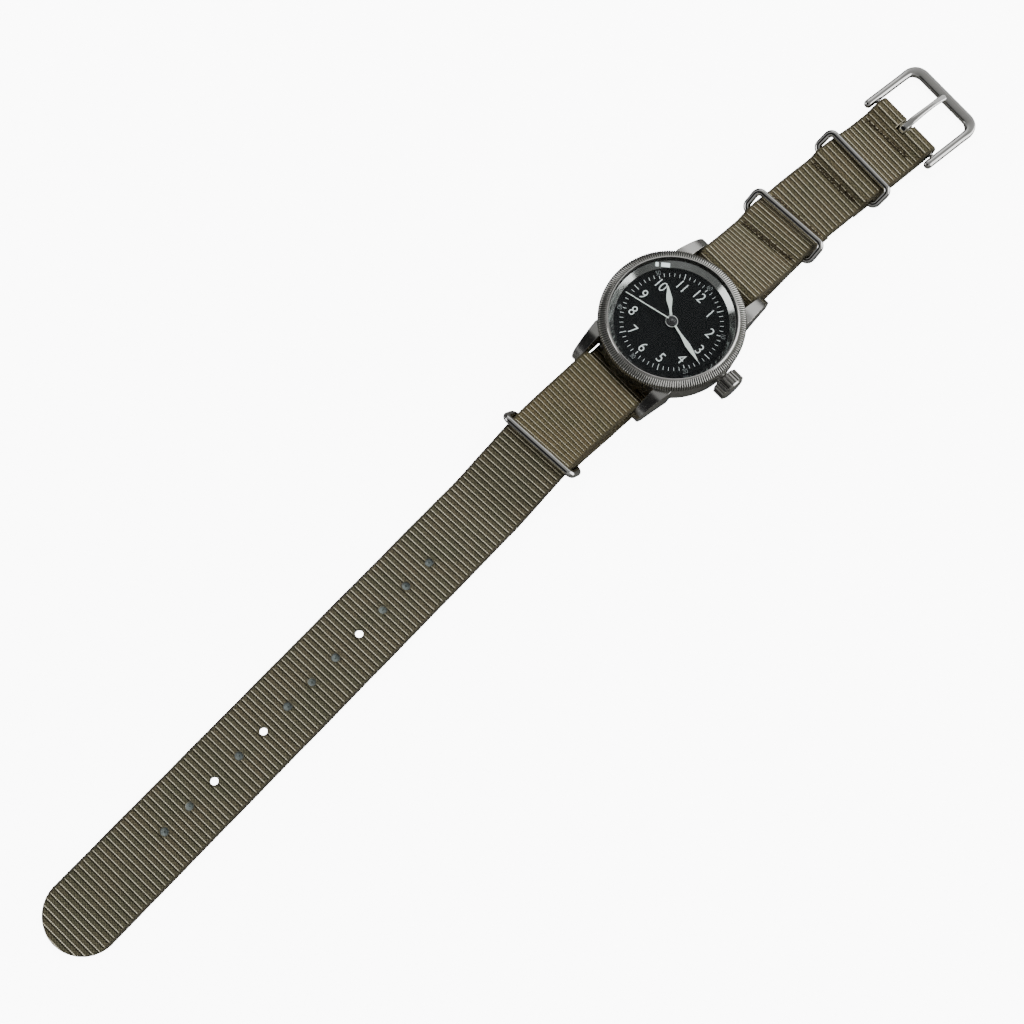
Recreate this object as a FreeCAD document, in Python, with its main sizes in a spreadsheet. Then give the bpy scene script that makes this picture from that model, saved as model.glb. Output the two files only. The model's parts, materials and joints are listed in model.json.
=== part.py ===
import FreeCAD, Part
import Sketcher
import math
import os

# Hand-wound field wristwatch on a one-piece woven strap, in mm.
# The origin is on the dial axis at the resting plane: +X towards 3 o'clock (the crown),
# +Y towards 12 o'clock (the buckle), +Z up out of the dial.

Vector, Rotation, Placement = FreeCAD.Vector, FreeCAD.Rotation, FreeCAD.Placement
doc = FreeCAD.newDocument("wristwatch")

# ------------------------------------------------------- driving dimensions
DIMENSIONS = (
    ("strap_wide", 18.0, "strap width, equal to the lug gap less play"),
    ("strap_thick", 1.2, "webbing thickness"),
    ("tail_yaw", 3.96, "in-plane turn of the long tail, degrees"),
    ("mid_yaw", 2.8, "in-plane turn between the 12 o'clock lugs and the fold, degrees"),
    ("buckle_yaw", 2.8, "in-plane turn of the buckle end the other way, degrees"),
    ("hole_rad", 0.95, "strap hole radius"),
    ("hole_gap", 7.7, "strap hole pitch"),
    ("hole_first", 80.2, "first strap hole from the dial axis"),
    ("tail_len", 198.4, "tail tip from the dial axis"),
    ("case_rad", 17.2, "middle case radius"),
    ("case_top", 10.0, "top of the middle case"),
    ("case_low", 3.05, "underside of the middle case"),
    ("bezel_rad", 17.6, "bezel radius"),
    ("bezel_top", 12.75, "top of the bezel lip"),
    ("glass_rad", 15.1, "crystal radius inside the bezel lip"),
    ("glass_top", 13.4, "crown of the crystal"),
    ("dial_rad", 14.3, "dial radius"),
    ("dial_z", 9.5, "underside of the dial"),
    ("dial_thick", 0.4, "dial thickness"),
    ("dial_open", 13.7, "visible dial radius inside the rehaut"),
    ("back_z", 2.6, "underside of the case back"),
    ("lug_gap", 18.3, "gap between a pair of lugs"),
    ("lug_tip", 21.7, "6 o'clock lug tip from the dial axis"),
    ("lug_tip_12", 22.8, "12 o'clock lug tip from the dial axis"),
    ("bar_y", 20.3, "spring bar axis from the dial axis"),
    ("bar_z", 5.2, "spring bar axis height"),
    ("bar_rad", 0.75, "spring bar radius"),
    ("stem_z", 6.6, "winding stem axis height"),
    ("crown_rad", 3.6, "crown radius"),
    ("crown_len", 3.5, "crown length"),
    ("plate_rad", 12.8, "movement radius"),
    ("plate_low", 7.4, "train side of the main plate"),
    ("plate_top", 8.6, "dial side of the main plate"),
    ("bridge_low", 4.9, "outer face of the bridges"),
    ("bridge_top", 5.8, "inner face of the bridges"),
    ("arbor_rad", 0.2, "train arbor radius"),
    ("ring_wire", 0.9, "keeper ring wire radius"),
    ("ring_in", 9.5, "half the keeper ring inside width"),
    ("ring_reach", 5.4, "keeper ring bar-to-bar distance"),
    ("frame_wire", 1.1, "buckle frame wire radius"),
    ("frame_half", 10.8, "buckle frame side wire from its middle"),
    ("pin_rad", 0.9, "buckle bar radius"),
    ("pin_y", 81.8, "buckle bar from the dial axis"),
    ("pin_z", 2.15, "buckle bar height"),
    ("hand_hour", 9.1, "hour hand length"),
    ("hand_minute", 11.7, "minute hand length"),
    ("hand_second", 12.9, "second hand length"),
)
VALUES = {alias: value for alias, value, note in DIMENSIONS}

sheet = doc.addObject("Spreadsheet::Sheet", "dims")
for row, (alias, value, note) in enumerate(DIMENSIONS, 1):
    sheet.set("A%d" % row, alias)
    sheet.set("B%d" % row, "%.6g" % value)
    sheet.set("C%d" % row, note)
    sheet.setAlias("B%d" % row, alias)
doc.recompute()


class Size:
    """A number together with the sheet expression that gives it."""

    def __init__(self, value, text):
        self.value, self.text = float(value), text

    def joined(self, other, sign, value):
        return Size(value, "(%s %s %s)" % (self.text, sign, other.text))

    def __add__(self, other):
        other = size(other)
        return self.joined(other, "+", self.value + other.value)

    def __sub__(self, other):
        other = size(other)
        return self.joined(other, "-", self.value - other.value)

    def __mul__(self, other):
        other = size(other)
        return self.joined(other, "*", self.value * other.value)


def size(number):
    return number if isinstance(number, Size) else Size(number, "%.6f" % number)


class Dims:
    """dims.alias is the Size kept under that alias in the sheet."""

    def __getattr__(self, alias):
        return Size(VALUES[alias], "dims." + alias)


dims = Dims()


def bind(obj, prop, amount):
    """Tie a property to the sheet where its size comes from there."""
    if "dims." in amount.text:
        obj.setExpression(prop, amount.text)


# ---------------------------------------------------------- plane geometry
def polar(radius, degrees):
    angle = math.radians(degrees)
    return (radius * math.cos(angle), radius * math.sin(angle))


def moved(point, step):
    return (point[0] + step[0], point[1] + step[1])


def turned(point, degrees):
    """The point turned about the origin."""
    cos, sin = polar(1.0, degrees)
    return (point[0] * cos - point[1] * sin, point[0] * sin + point[1] * cos)


def unit(start, end):
    length = math.dist(start, end)
    return ((end[0] - start[0]) / length, (end[1] - start[1]) / length)


# ---------------------------------------------------------- sketch shapes
# A shape is a drawing function followed by what it draws.
def pin_point(sketch, index, end, x, y):
    """Fix a point of the geometry at (x, y) from the sketch origin."""
    for kind, axis, amount in (("DistanceX", -2, x), ("DistanceY", -1, y)):
        if abs(amount.value) < 1e-9:
            sketch.addConstraint(Sketcher.Constraint("PointOnObject", index, end, axis))
        else:
            number = sketch.addConstraint(
                Sketcher.Constraint(kind, -1, 1, index, end, amount.value))
            bind(sketch, "Constraints[%d]" % number, amount)


def draw_circle(sketch, x, y, radius):
    centre = Vector(x.value, y.value, 0)
    index = sketch.addGeometry(Part.Circle(centre, Vector(0, 0, 1), radius.value), False)
    number = sketch.addConstraint(Sketcher.Constraint("Radius", index, radius.value))
    bind(sketch, "Constraints[%d]" % number, radius)
    pin_point(sketch, index, 3, x, y)


def draw_profile(sketch, points):
    count, first = len(points), sketch.GeometryCount
    corners = [Vector(x.value, y.value, 0) for x, y in points]
    for i in range(count):
        sketch.addGeometry(Part.LineSegment(corners[i], corners[(i + 1) % count]), False)
    for i in range(count):
        following = first + (i + 1) % count
        sketch.addConstraint(Sketcher.Constraint("Coincident", first + i, 2, following, 1))
    for i, (x, y) in enumerate(points):
        pin_point(sketch, first + i, 1, x, y)


def draw_outline(sketch, points):
    for start, end in zip(points, points[1:] + points[:1]):
        # neighbouring crown flutes share a point, which gives an edge of no length
        if math.dist(start, end) >= 1e-6:
            sketch.addGeometry(Part.LineSegment(Vector(*start, 0), Vector(*end, 0)), False)


def draw_curves(sketch, curves):
    for curve in curves:
        sketch.addGeometry(curve, False)


def circle(x, y, radius):
    return (draw_circle, size(x), size(y), size(radius))


def circles(centres, radius):
    return [circle(x, y, radius) for x, y in centres]


def disc(radius):
    return circle(0, 0, radius)


def profile(points):
    """Closed polygon whose corners are dimensioned and follow the sheet."""
    return (draw_profile, [(size(x), size(y)) for x, y in points])


def outline(points):
    """Closed polygon of free lines."""
    return (draw_outline, list(points))


def strip(start, end, width):
    """Rectangle of the given width along the line from start to end."""
    along = unit(start, end)
    side = (-along[1] * width / 2, along[0] * width / 2)
    back = (-side[0], -side[1])
    return outline([moved(start, side), moved(start, back), moved(end, back), moved(end, side)])


def toothed(count, phase, tooth):
    """Ring of teeth; tooth is (radius, angle from its middle in radians) per corner."""
    points = []
    for k in range(count):
        middle = phase + k * 2 * math.pi / count
        for radius, angle in tooth:
            points.append((radius * math.cos(middle + angle), radius * math.sin(middle + angle)))
    return outline(points)


def spiral(outer, inward, turns, thick):
    """Coiled strip of 24 chords a turn, running in from the outer radius."""
    count = 24 * turns
    edges = []
    for inset in (0.0, thick):
        edge = []
        for k in range(count + 1):
            share = k / count
            edge.append(polar(outer - inward * share - inset, 360.0 * turns * share))
        edges.append(edge)
    return outline(edges[0] + edges[1][::-1])


# ---------------------------------------------------------- solid builders
PARTS = []
NO_TURN = Rotation()
ALONG_X = Rotation(Vector(0, 1, 0), 90.0)      # local z -> +X, local x -> -Z
ACROSS = Rotation(Vector(1, 1, 1), 120.0)      # local x -> +Y, y -> +Z, z -> +X
SIDES = (("right", 1), ("left", -1))           # sign of X
ENDS = (("12", 1), ("6", -1))                  # sign of Y


def shift(x, y, z):
    return Placement(Vector(x, y, z), NO_TURN)


def spin(axis, degrees):
    return Placement(Vector(0, 0, 0), Rotation(Vector(*axis), degrees))


def place(obj, at, turn=NO_TURN):
    x, y, z = [size(c) for c in at]
    obj.Placement = Placement(Vector(x.value, y.value, z.value), turn)
    for name, amount in (("x", x), ("y", y), ("z", z)):
        bind(obj, "Placement.Base." + name, amount)


def add_shapes(sketch, shapes):
    for draw, *data in shapes:
        draw(sketch, *data)


def new_sketch(body, role, offset=0.0):
    """Sketch on the body's own origin plane of that role, offset along its normal."""
    plane = [f for f in body.Origin.OriginFeatures if f.Role == role][0]
    offset = size(offset)
    sketch = body.newObject("Sketcher::SketchObject", "Sketch_" + body.Name)
    sketch.AttachmentSupport = [(plane, "")]
    sketch.MapMode = "FlatFace"
    sketch.AttachmentOffset = shift(0, 0, offset.value)
    bind(sketch, "AttachmentOffset.Base.z", offset)
    return sketch


# A step of a body is (feature, sketch level, length, shapes).
def revolve(points):
    """Full turn about local z of a profile of (radius, height)."""
    return ("Revolution", 0, None, [profile(points)])


def groove(points):
    """Full-turn cut about local z of a profile of (radius, height)."""
    return ("Groove", 0, None, [profile(points)])


def pad(low, high, *shapes):
    return ("Pad", low, size(high) - low, shapes)


def cut(low, high, *shapes):
    return ("Pocket", high, size(high) - low, shapes)


def build(name, steps, at=(0, 0, 0), turn=NO_TURN, export=True):
    """One body made of the steps in order, then placed."""
    body = doc.addObject("PartDesign::Body", name)
    for kind, level, length, shapes in steps:
        before = body.Shape.Volume if body.Tip else 0.0
        sketch = new_sketch(body, "XZ_Plane" if length is None else "XY_Plane", level)
        add_shapes(sketch, shapes)
        feature = body.newObject("PartDesign::" + kind, kind)
        feature.Profile = sketch
        if length is None:
            feature.ReferenceAxis = (sketch, ["V_Axis"])
            feature.Angle = 360.0
        else:
            feature.Length = length.value
            bind(feature, "Length", length)
        sketch.Visibility = False
        doc.recompute()
        gain = body.Shape.Volume - before
        if kind in ("Groove", "Pocket"):
            gain = -gain
        if gain < 1e-7:
            raise RuntimeError("%s: a %s changed nothing" % (name, kind))
    place(body, at, turn)
    if export:
        PARTS.append(body)
    return body


def cylinder(name, radius, height, at=(0, 0, 0), turn=NO_TURN):
    radius = size(radius)
    obj = doc.addObject("Part::Cylinder", name)
    obj.Radius, obj.Height = radius.value, height
    bind(obj, "Radius", radius)
    place(obj, at, turn)
    return obj


def box(name, sizes, corner, frame=Placement()):
    obj = doc.addObject("Part::Box", name)
    obj.Length, obj.Width, obj.Height = sizes
    obj.Placement = frame.multiply(shift(*corner))
    return obj


def combine(kind, name, base, tool):
    """Part::Cut or Part::Common of two objects."""
    obj = doc.addObject("Part::" + kind, name)
    obj.Base, obj.Tool = base, tool
    return obj


def fuse(name, pieces):
    obj = doc.addObject("Part::MultiFuse", name)
    obj.Shapes = pieces
    return obj


def group(name, solids):
    """Several like pieces in one node, as a compound of separate solids."""
    obj = doc.addObject("Part::Compound", name)
    obj.Links = solids
    PARTS.append(obj)


def sweep(name, curves, plane, offset, section):
    """Body swept by a section along curves in its XY plane."""
    body = doc.addObject("PartDesign::Body", name)
    path = new_sketch(body, "XY_Plane")
    draw_curves(path, curves)
    sketch = new_sketch(body, plane, offset)
    add_shapes(sketch, [section])
    doc.recompute()
    pipe = body.newObject("PartDesign::AdditivePipe", "pipe_" + name)
    pipe.Profile = sketch
    pipe.Spine = path
    doc.recompute()
    return body


def corner_arc(start, centre, end):
    """Arc of under half a turn from start to end."""
    middle = start + end - centre * 2
    middle.normalize()
    return Part.Arc(start, centre + middle * (start - centre).Length, end)


# ---------------------------------------------------------------- the case
MOVEMENT_BORE = 13.3
BACK_BORE = 14.6
LUG_ROOT = 11.0          # Y where a lug starts, inside the ring
LUG_STRETCH = (14.5, 6.0)  # a longer lug stretches from this Y, over this length
BAR_HOLE_X, BAR_HOLE_DEEP = 8.9, 1.7

# Side outline of a 6 o'clock lug, (distance from the dial axis, height).
LUG_BACK = [(11.0, 9.55), (13.5, 9.5), (15.6, 9.15), (17.4, 8.45), (19.0, 7.5), (20.3, 6.4),
            (21.2, 5.2), (21.62, 4.1), (21.55, 3.4), (21.0, 3.0), (19.8, 2.9)]
LUG_UNDERSIDE = [(17.0, 3.05), (14.5, 3.35), (11.0, 3.6)]


def lug_side(sign):
    """Side outline of a lug: a falling curved back and a near-flat underside."""
    extra = (dims.lug_tip_12 - dims.lug_tip).value if sign > 0 else 0.0
    start, length = LUG_STRETCH
    points = []
    for y, z in LUG_BACK + LUG_UNDERSIDE:
        share = min(1.0, max(0.0, (y - start) / length))
        points.append(Vector(sign * (y + extra * share), z, 0))
    back = Part.BSplineCurve()
    back.interpolate(points[:len(LUG_BACK)])
    rest = points[len(LUG_BACK) - 1:] + points[:1]
    return (draw_curves, [back] + [Part.LineSegment(a, b) for a, b in zip(rest, rest[1:])])


def lug_plan(side, end):
    """Plan outline of a lug in the given quadrant, dimensioned from the gap and the tip."""
    gap = dims.lug_gap * 0.5
    tip = dims.lug_tip_12 if end > 0 else dims.lug_tip
    root = size(LUG_ROOT)
    points = [(gap, root), (gap, tip), (gap + 1.55, tip), (gap + 2.05, tip - 0.35),
              (gap + 2.25, tip - 1.1), (gap + 2.75, tip - 5.0), (gap + 3.3, tip - 8.6),
              (gap + 3.0, root)]
    return profile([(x * side, y * end) for x, y in points])


def extrusion(name, shape, at, turn, direction, length):
    sketch = doc.addObject("Sketcher::SketchObject", name + "_sketch")
    sketch.Placement = Placement(Vector(*at), turn)
    add_shapes(sketch, [shape])
    obj = doc.addObject("Part::Extrusion", name)
    obj.Base = sketch
    obj.DirMode = "Custom"
    obj.Dir = Vector(*direction)
    obj.LengthFwd = length
    obj.Solid = True
    return obj


def lug(side_name, side, end_name, end):
    """The plan prism and the side slab in common."""
    tag = "%s_%s" % (side_name, end_name)
    prism = extrusion("lug_prism_" + tag, lug_plan(side, end), (0, 0, 2.0), NO_TURN,
                      (0, 0, 1), 9.0)
    slab = extrusion("lug_slab_" + tag, lug_side(end), (-14.0, 0, 0), ACROSS, (1, 0, 0), 28.0)
    return combine("Common", "lug_" + tag, prism, slab)


def mid_case():
    low, top, outer = dims.case_low, dims.case_top, dims.case_rad
    ring = build("case_ring", [revolve([
        (MOVEMENT_BORE, low + 1.2), (BACK_BORE, low + 1.2), (BACK_BORE, low + 0.4),
        (15.1, low + 0.4), (15.1, low), (16.3, low), (outer - 0.25, low + 0.75),
        (outer, low + 1.6), (outer, top - 0.5), (outer - 0.25, top), (14.4, top),
        (14.4, dims.dial_z - 0.05), (MOVEMENT_BORE, dims.dial_z - 0.05)])], export=False)
    lugs = [lug(*side, *end) for side in SIDES for end in ENDS]
    raw = fuse("case_raw", [ring] + lugs)
    drills = [cylinder("case_bore", MOVEMENT_BORE, 9.0, (0, 0, 4.3)),
              cylinder("back_bore", BACK_BORE, 1.2, (0, 0, low))]
    for side_name, side in SIDES:
        for end_name, end in ENDS:
            x = BAR_HOLE_X if side > 0 else -BAR_HOLE_X - BAR_HOLE_DEEP
            drills.append(cylinder("bar_hole_%s_%s" % (side_name, end_name), 0.45,
                                   BAR_HOLE_DEEP, (x, dims.bar_y * end, dims.bar_z), ALONG_X))
    drills.append(cylinder("tube_hole", 1.3, 6.0, (12.5, 0, dims.stem_z), ALONG_X))
    PARTS.append(combine("Cut", "mid_case", raw, fuse("case_drills", drills)))


def bezel():
    low, top, outer = dims.case_top, dims.bezel_top, dims.bezel_rad
    lip = dims.glass_rad + 0.1
    build("bezel", [revolve([
        (15.2, low + 0.03), (outer - 0.15, low + 0.03), (outer, low + 0.2), (outer, low + 1.15),
        (outer - 0.25, low + 1.45), (16.05, top - 0.3), (15.8, top), (lip, top),
        (lip, top - 0.67), (15.8, top - 0.67), (15.8, 11.1), (15.2, 11.1)])])


def crystal():
    """Domed above and hollowed below, both faces parabolic in section."""
    chords = 8
    under_rad = 14.9
    shares = [k / chords for k in range(chords + 1)]
    dome = [(dims.glass_rad * share, dims.glass_top - 0.85 * share ** 2)
            for share in reversed(shares)]
    under = [(under_rad * share, dims.glass_top - 1.1 - 0.87 * share ** 2) for share in shares]
    flange = [(15.7, 11.38), (15.7, 12.0), (dims.glass_rad, 12.0)]
    build("crystal", [revolve(flange + dome + under)])


def rehaut_ring():
    seat = dims.dial_z + 0.43
    ledge = dims.case_top + 0.02
    build("rehaut_ring", [revolve([
        (dims.dial_open, seat), (dims.dial_rad, seat), (dims.dial_rad, ledge),
        (15.1, ledge), (15.1, 11.35), (14.95, 11.35)])])


def case_back():
    """Stepped disc with six notches in its underside."""
    low = dims.back_z
    notch = [(13.0, -0.9), (14.2, -0.9), (14.2, 0.9), (13.0, 0.9)]
    notches = [outline([turned(point, 60 * k) for point in notch]) for k in range(6)]
    build("case_back", [
        revolve([(0, low), (15.2, low), (15.4, low + 0.15), (15.4, low + 0.4),
                 (14.5, low + 0.4), (14.5, low + 1.6), (13.4, low + 1.6), (13.4, low + 1.0),
                 (0, low + 1.0)]),
        cut(low, low + 0.35, *notches)])


def seal(name, inner, outer, low, high):
    return build(name, [revolve([(inner, low), (outer, low), (outer, high), (inner, high)])],
                 export=False)


mid_case()
bezel()
crystal()
rehaut_ring()
build("dial", [pad(dims.dial_z, dims.dial_z + dims.dial_thick, disc(dims.dial_rad), disc(1.2))])
build("movement_ring", [pad(dims.plate_low + 0.1, dims.dial_z - 0.07,
                            disc(13.25), disc(dims.plate_rad + 0.05))])
case_back()
group("case_seals", [seal("crystal_seal", 15.25, 15.7, 11.12, 11.35),
                     seal("back_seal", 14.65, 15.05, 3.07, 3.4)])

# -------------------------------------------------------------- wheel sizes
# Tooth count and module of each gear.
WHEELS = {
    "barrel": (84, 0.12), "great_pinion": (14, 0.12),
    "great": (80, 0.1), "third_pinion": (10, 0.1),
    # this pair spans the same distance as the one above
    "third": (75, 9.0 / 85), "seconds_pinion": (10, 9.0 / 85),
    "seconds": (80, 0.09), "escape_pinion": (8, 0.09),
    "cannon": (12, 0.15), "minute": (36, 0.15), "intermediate": (36, 0.15),
    "driving": (12, 0.15), "setting": (16, 0.15),
    "minute_pinion": (10, 0.144), "hour": (40, 0.144),
    "crown_wheel": (32, 0.2), "ratchet": (57, 0.2),
    "winding": (16, 0.19),
}


def gear(name, phase=0.0):
    """Spur gear of trapezoid teeth, one of them centred on the phase angle (radians)."""
    count, module = WHEELS[name]
    pitch_rad, pitch = count * module / 2.0, 2 * math.pi / count
    root, tip = pitch_rad - 1.2 * module, pitch_rad + 0.85 * module
    foot, crest = 0.27 * pitch, 0.13 * pitch
    return toothed(count, phase, ((root, -foot), (tip, -crest), (tip, crest), (root, foot)))


def mesh(name, at, driver, driver_at, driver_phase=0.0):
    """Phase that sets a gear's teeth between those of its driver."""
    count, driver_count = WHEELS[name][0], WHEELS[driver][0]
    line = math.atan2(at[1] - driver_at[1], at[0] - driver_at[0])
    return (line + math.pi - (driver_phase - line) * driver_count / count + math.pi / count)


def spacing(wheel, pinion):
    """Centre distance of a meshing pair."""
    return (WHEELS[wheel][0] + WHEELS[pinion][0]) * WHEELS[wheel][1] / 2


def apex(end, leg):
    """Point at distance leg from the origin and from end, left of the line to end."""
    half = math.hypot(*end) / 2
    x, y = unit((0.0, 0.0), end)
    height = math.sqrt(leg ** 2 - half ** 2)
    return (x * half - y * height, y * half + x * height)


def on_stem(start, reach):
    """Point on the stem line, on its +X side, at distance reach from start."""
    return (start[0] + math.sqrt(reach ** 2 - start[1] ** 2), 0.0)


# --------------------------------------------------------- movement centres
LEVER_LINE = -35.0       # direction from the escape wheel to the balance, degrees
CENTRE = (0.0, 0.0)
BARREL = (1.18, 6.7)
GREAT = polar(5.6, 135.6)
THIRD = apex(GREAT, spacing("great", "third_pinion"))
INTERMEDIATE = apex(GREAT, spacing("intermediate", "cannon"))
ESCAPE = polar(spacing("seconds", "escape_pinion"), 250)
BALANCE = moved(ESCAPE, polar(6.4, LEVER_LINE))
PALLET = moved(ESCAPE, polar(3.0, LEVER_LINE))
MINUTE = polar(spacing("minute", "cannon"), -30)
SETTING = on_stem(MINUTE, spacing("minute", "setting"))
CROWN_WHEEL = on_stem(BARREL, spacing("ratchet", "crown_wheel"))
LEVER, YOKE = (11.15, -3.4), (8.4, -3.6)
CLICK = (-5.0, 10.1)
COCK_FOOT = (9.2, -6.6)
BARREL_FEET = [(10.5, 3.1), (8.0, 8.6)]
TRAIN_FEET = [(-9.6, 1.6), (-5.2, -5.9), (-7.6, 7.2)]
PALLET_FEET = [moved(PALLET, polar(reach, LEVER_LINE + 90)) for reach in (2.3, -2.3)]

SCREW_HOLE, SCREW_SHANK = 0.3, 0.27
JEWEL_RAD, JEWEL_HOLE = 0.55, 0.57
GREAT_ARBOR, GREAT_HOLE = 0.3, 0.34
POST, POST_BORE = 0.25, 0.29
PIVOT_LOW, PIVOT_TOP = 5.15, 8.3  # ends of the train arbors
ARBOR = dims.arbor_rad

# ------------------------------------------------- crown, stem, keyless works
# These are revolved about the stem: local z is X, from the dial axis or the crown's inner end.
STEM_AT = (0, 0, dims.stem_z)
CROWN_AT = (17.85, 0, dims.stem_z)
LEVER_GROOVE = (11.32, 11.92)    # groove in the stem, along X
YOKE_GROOVE = (8.6, 9.0)         # groove in the sliding pinion, along X


def crown():
    count = 26
    pitch = 2 * math.pi / count
    outer, valley, length = dims.crown_rad.value, 3.28, dims.crown_len
    flute = ((valley, -0.5 * pitch), (outer, -0.22 * pitch),
             (outer, 0.22 * pitch), (valley, 0.5 * pitch))
    build("crown", [
        pad(0.35, length - 0.35, toothed(count, 0.0, flute)),
        revolve([(0, 0.0), (3.0, 0.0), (3.25, 0.36), (3.25, length - 0.36), (2.95, length),
                 (0, length)]),
        # hollow round the neck, then the neck with its gasket groove and stem bore
        groove([(0, -0.1), (1.65, -0.1), (1.65, 1.9), (0, 1.9)]),
        revolve([(0, -3.1), (0.85, -3.1), (0.85, 2.2), (0, 2.2)]),
        groove([(0.62, -2.3), (1.2, -2.3), (1.2, -1.8), (0.62, -1.8)]),
        groove([(0, -3.2), (0.42, -3.2), (0.42, -0.8), (0, -0.8)]),
    ], CROWN_AT, ALONG_X)


def stem_parts():
    build("crown_gasket", [
        revolve([(0.65, -2.27), (0.98, -2.27), (0.98, -1.83), (0.65, -1.83)])],
        CROWN_AT, ALONG_X)
    build("crown_tube", [
        revolve([(1.02, 13.6), (1.28, 13.6), (1.28, 17.9), (1.5, 17.9), (1.5, 18.9),
                 (1.02, 18.9)])], STEM_AT, ALONG_X)
    start, end = LEVER_GROOVE
    build("winding_stem", [
        revolve([(0, 8.15), (0.34, 8.15), (0.34, 9.62), (0.5, 9.62), (0.5, start),
                 (0.3, start), (0.3, end), (0.5, end), (0.5, 13.0), (0.39, 13.0),
                 (0.39, 17.0), (0, 17.0)])], STEM_AT, ALONG_X)
    build("winding_pinion", [
        pad(9.95, 10.35, gear("winding"), disc(0.55)),
        pad(10.35, 11.1, disc(0.9), disc(0.55))], STEM_AT, ALONG_X)
    start, end = YOKE_GROOVE
    build("sliding_pinion", [
        revolve([(0.38, 8.22), (0.7, 8.22), (0.7, start), (0.5, start), (0.5, end), (0.7, end),
                 (0.7, 9.5), (0.38, 9.5)])], STEM_AT, ALONG_X)


crown()
stem_parts()

# ------------------------------------------------------ plates and bridges
def main_plate():
    """Disc with a slot for the keyless works, its holes, and posts on the dial side."""
    low, top = dims.plate_low, dims.plate_top
    slot = [(13.2, 1.8), (7.7, 1.8), (7.7, -1.8), (13.2, -1.8)]
    holes = [circle(*BARREL, 5.35), disc(0.3), circle(*GREAT, GREAT_HOLE),
             circle(*SETTING, GREAT_HOLE)]
    holes += circles([THIRD, ESCAPE, PALLET, BALANCE], JEWEL_HOLE)
    holes += circles(BARREL_FEET + TRAIN_FEET + [COCK_FOOT] + PALLET_FEET, SCREW_HOLE)
    build("main_plate", [
        pad(low, top, disc(dims.plate_rad)),
        cut(low, top, outline(slot)),
        cut(low, top, *holes),
        pad(top, 9.6, disc(0.52), disc(0.3)),
        pad(top, 8.93, circle(*INTERMEDIATE, POST)),
        pad(top, 9.2, circle(*MINUTE, POST)),
        pad(top, 9.05, circle(*LEVER, POST)),
        pad(top, 8.85, circle(*YOKE, POST)),
    ])


def bridge(name, low, top, shapes, feet, foot_rad, extra=()):
    """Flat bridge standing on drilled round feet on the main plate."""
    build(name, [
        pad(low, top, *shapes),
        pad(top, dims.plate_low, *circles(feet, foot_rad)),
        cut(low, dims.plate_low, *circles(feet, SCREW_HOLE)),
        *extra])


def bridges():
    low, top = dims.bridge_low, dims.bridge_top
    barrel_plan = [(-1.2, 11.6), (-1.2, 2.3), (2.4, 1.6), (2.8, -2.6), (9.6, -2.6), (9.6, 2.1),
                   (11.9, 2.1), (11.6, 4.6), (9.2, 8.6), (5.0, 11.2)]
    bridge("barrel_bridge", low, top,
           [outline(barrel_plan), circle(*BARREL, 0.86), circle(*CROWN_WHEEL, 0.35)],
           BARREL_FEET, 0.65)
    train_plan = [(-1.5, 11.0), (-1.5, 2.0), (2.1, 1.3), (2.4, -2.6), (0.6, -4.4), (-0.2, -5.2),
                  (-4.5, -7.0), (-9.5, -5.0), (-11.6, 0.0), (-10.2, 5.5), (-6.0, 10.4)]
    click_post = pad(4.45, low, circle(*CLICK, POST))
    bridge("train_bridge", low, top,
           [outline(train_plan), *circles([CENTRE, THIRD, ESCAPE], JEWEL_HOLE),
            circle(*GREAT, GREAT_HOLE)],
           TRAIN_FEET, 0.65, [click_post])
    arm = strip(moved(BALANCE, (-1.2, -0.2)), moved(COCK_FOOT, (1.0, 0.15)), 2.3)
    bridge("balance_cock", low, top, [arm, circle(*BALANCE, JEWEL_HOLE)], [COCK_FOOT], 0.8)
    ends = [moved(PALLET, polar(reach, LEVER_LINE + 90)) for reach in (2.8, -2.8)]
    bridge("pallet_bridge", 6.55, 6.85, [strip(*ends, 1.1), circle(*PALLET, 0.25)],
           PALLET_FEET, 0.45)


def jewel(name, at, low, high, bore):
    height = high - low
    outer = cylinder(name + "_out", JEWEL_RAD, height, (*at, low))
    inner = cylinder(name + "_in", bore, height + 0.2, (*at, low - 0.1))
    return combine("Cut", name, outer, inner)


def jewel_bearings():
    bore = ARBOR + 0.03
    jewels = [jewel("jewel_dial_%d" % k, at, 7.7, 8.3, bore)
              for k, at in enumerate((THIRD, ESCAPE, PALLET, BALANCE))]
    jewels += [jewel("jewel_back_%d" % k, at, 5.1, 5.6, bore)
               for k, at in enumerate((THIRD, ESCAPE, BALANCE))]
    jewels.append(jewel("jewel_centre", CENTRE, 5.1, 5.6, 0.28))
    group("jewel_bearings", jewels)


def screw(name, at, head_rad, head_low, head_top, shank_low):
    head = cylinder(name + "_head", head_rad, head_top - head_low, (*at, head_low))
    shank = cylinder(name + "_shank", SCREW_SHANK, 8.3 - shank_low, (*at, shank_low))
    return fuse(name, [head, shank])


def movement_screws():
    screws = [screw("screw_%d" % k, at, 0.55, 4.6, 4.88, 4.8)
              for k, at in enumerate(BARREL_FEET + TRAIN_FEET + [COCK_FOOT])]
    screws += [screw("pallet_screw_%d" % k, at, 0.4, 6.47, 6.54, 6.5)
               for k, at in enumerate(PALLET_FEET)]
    group("movement_screws", screws)


main_plate()
bridges()
jewel_bearings()
movement_screws()

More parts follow.
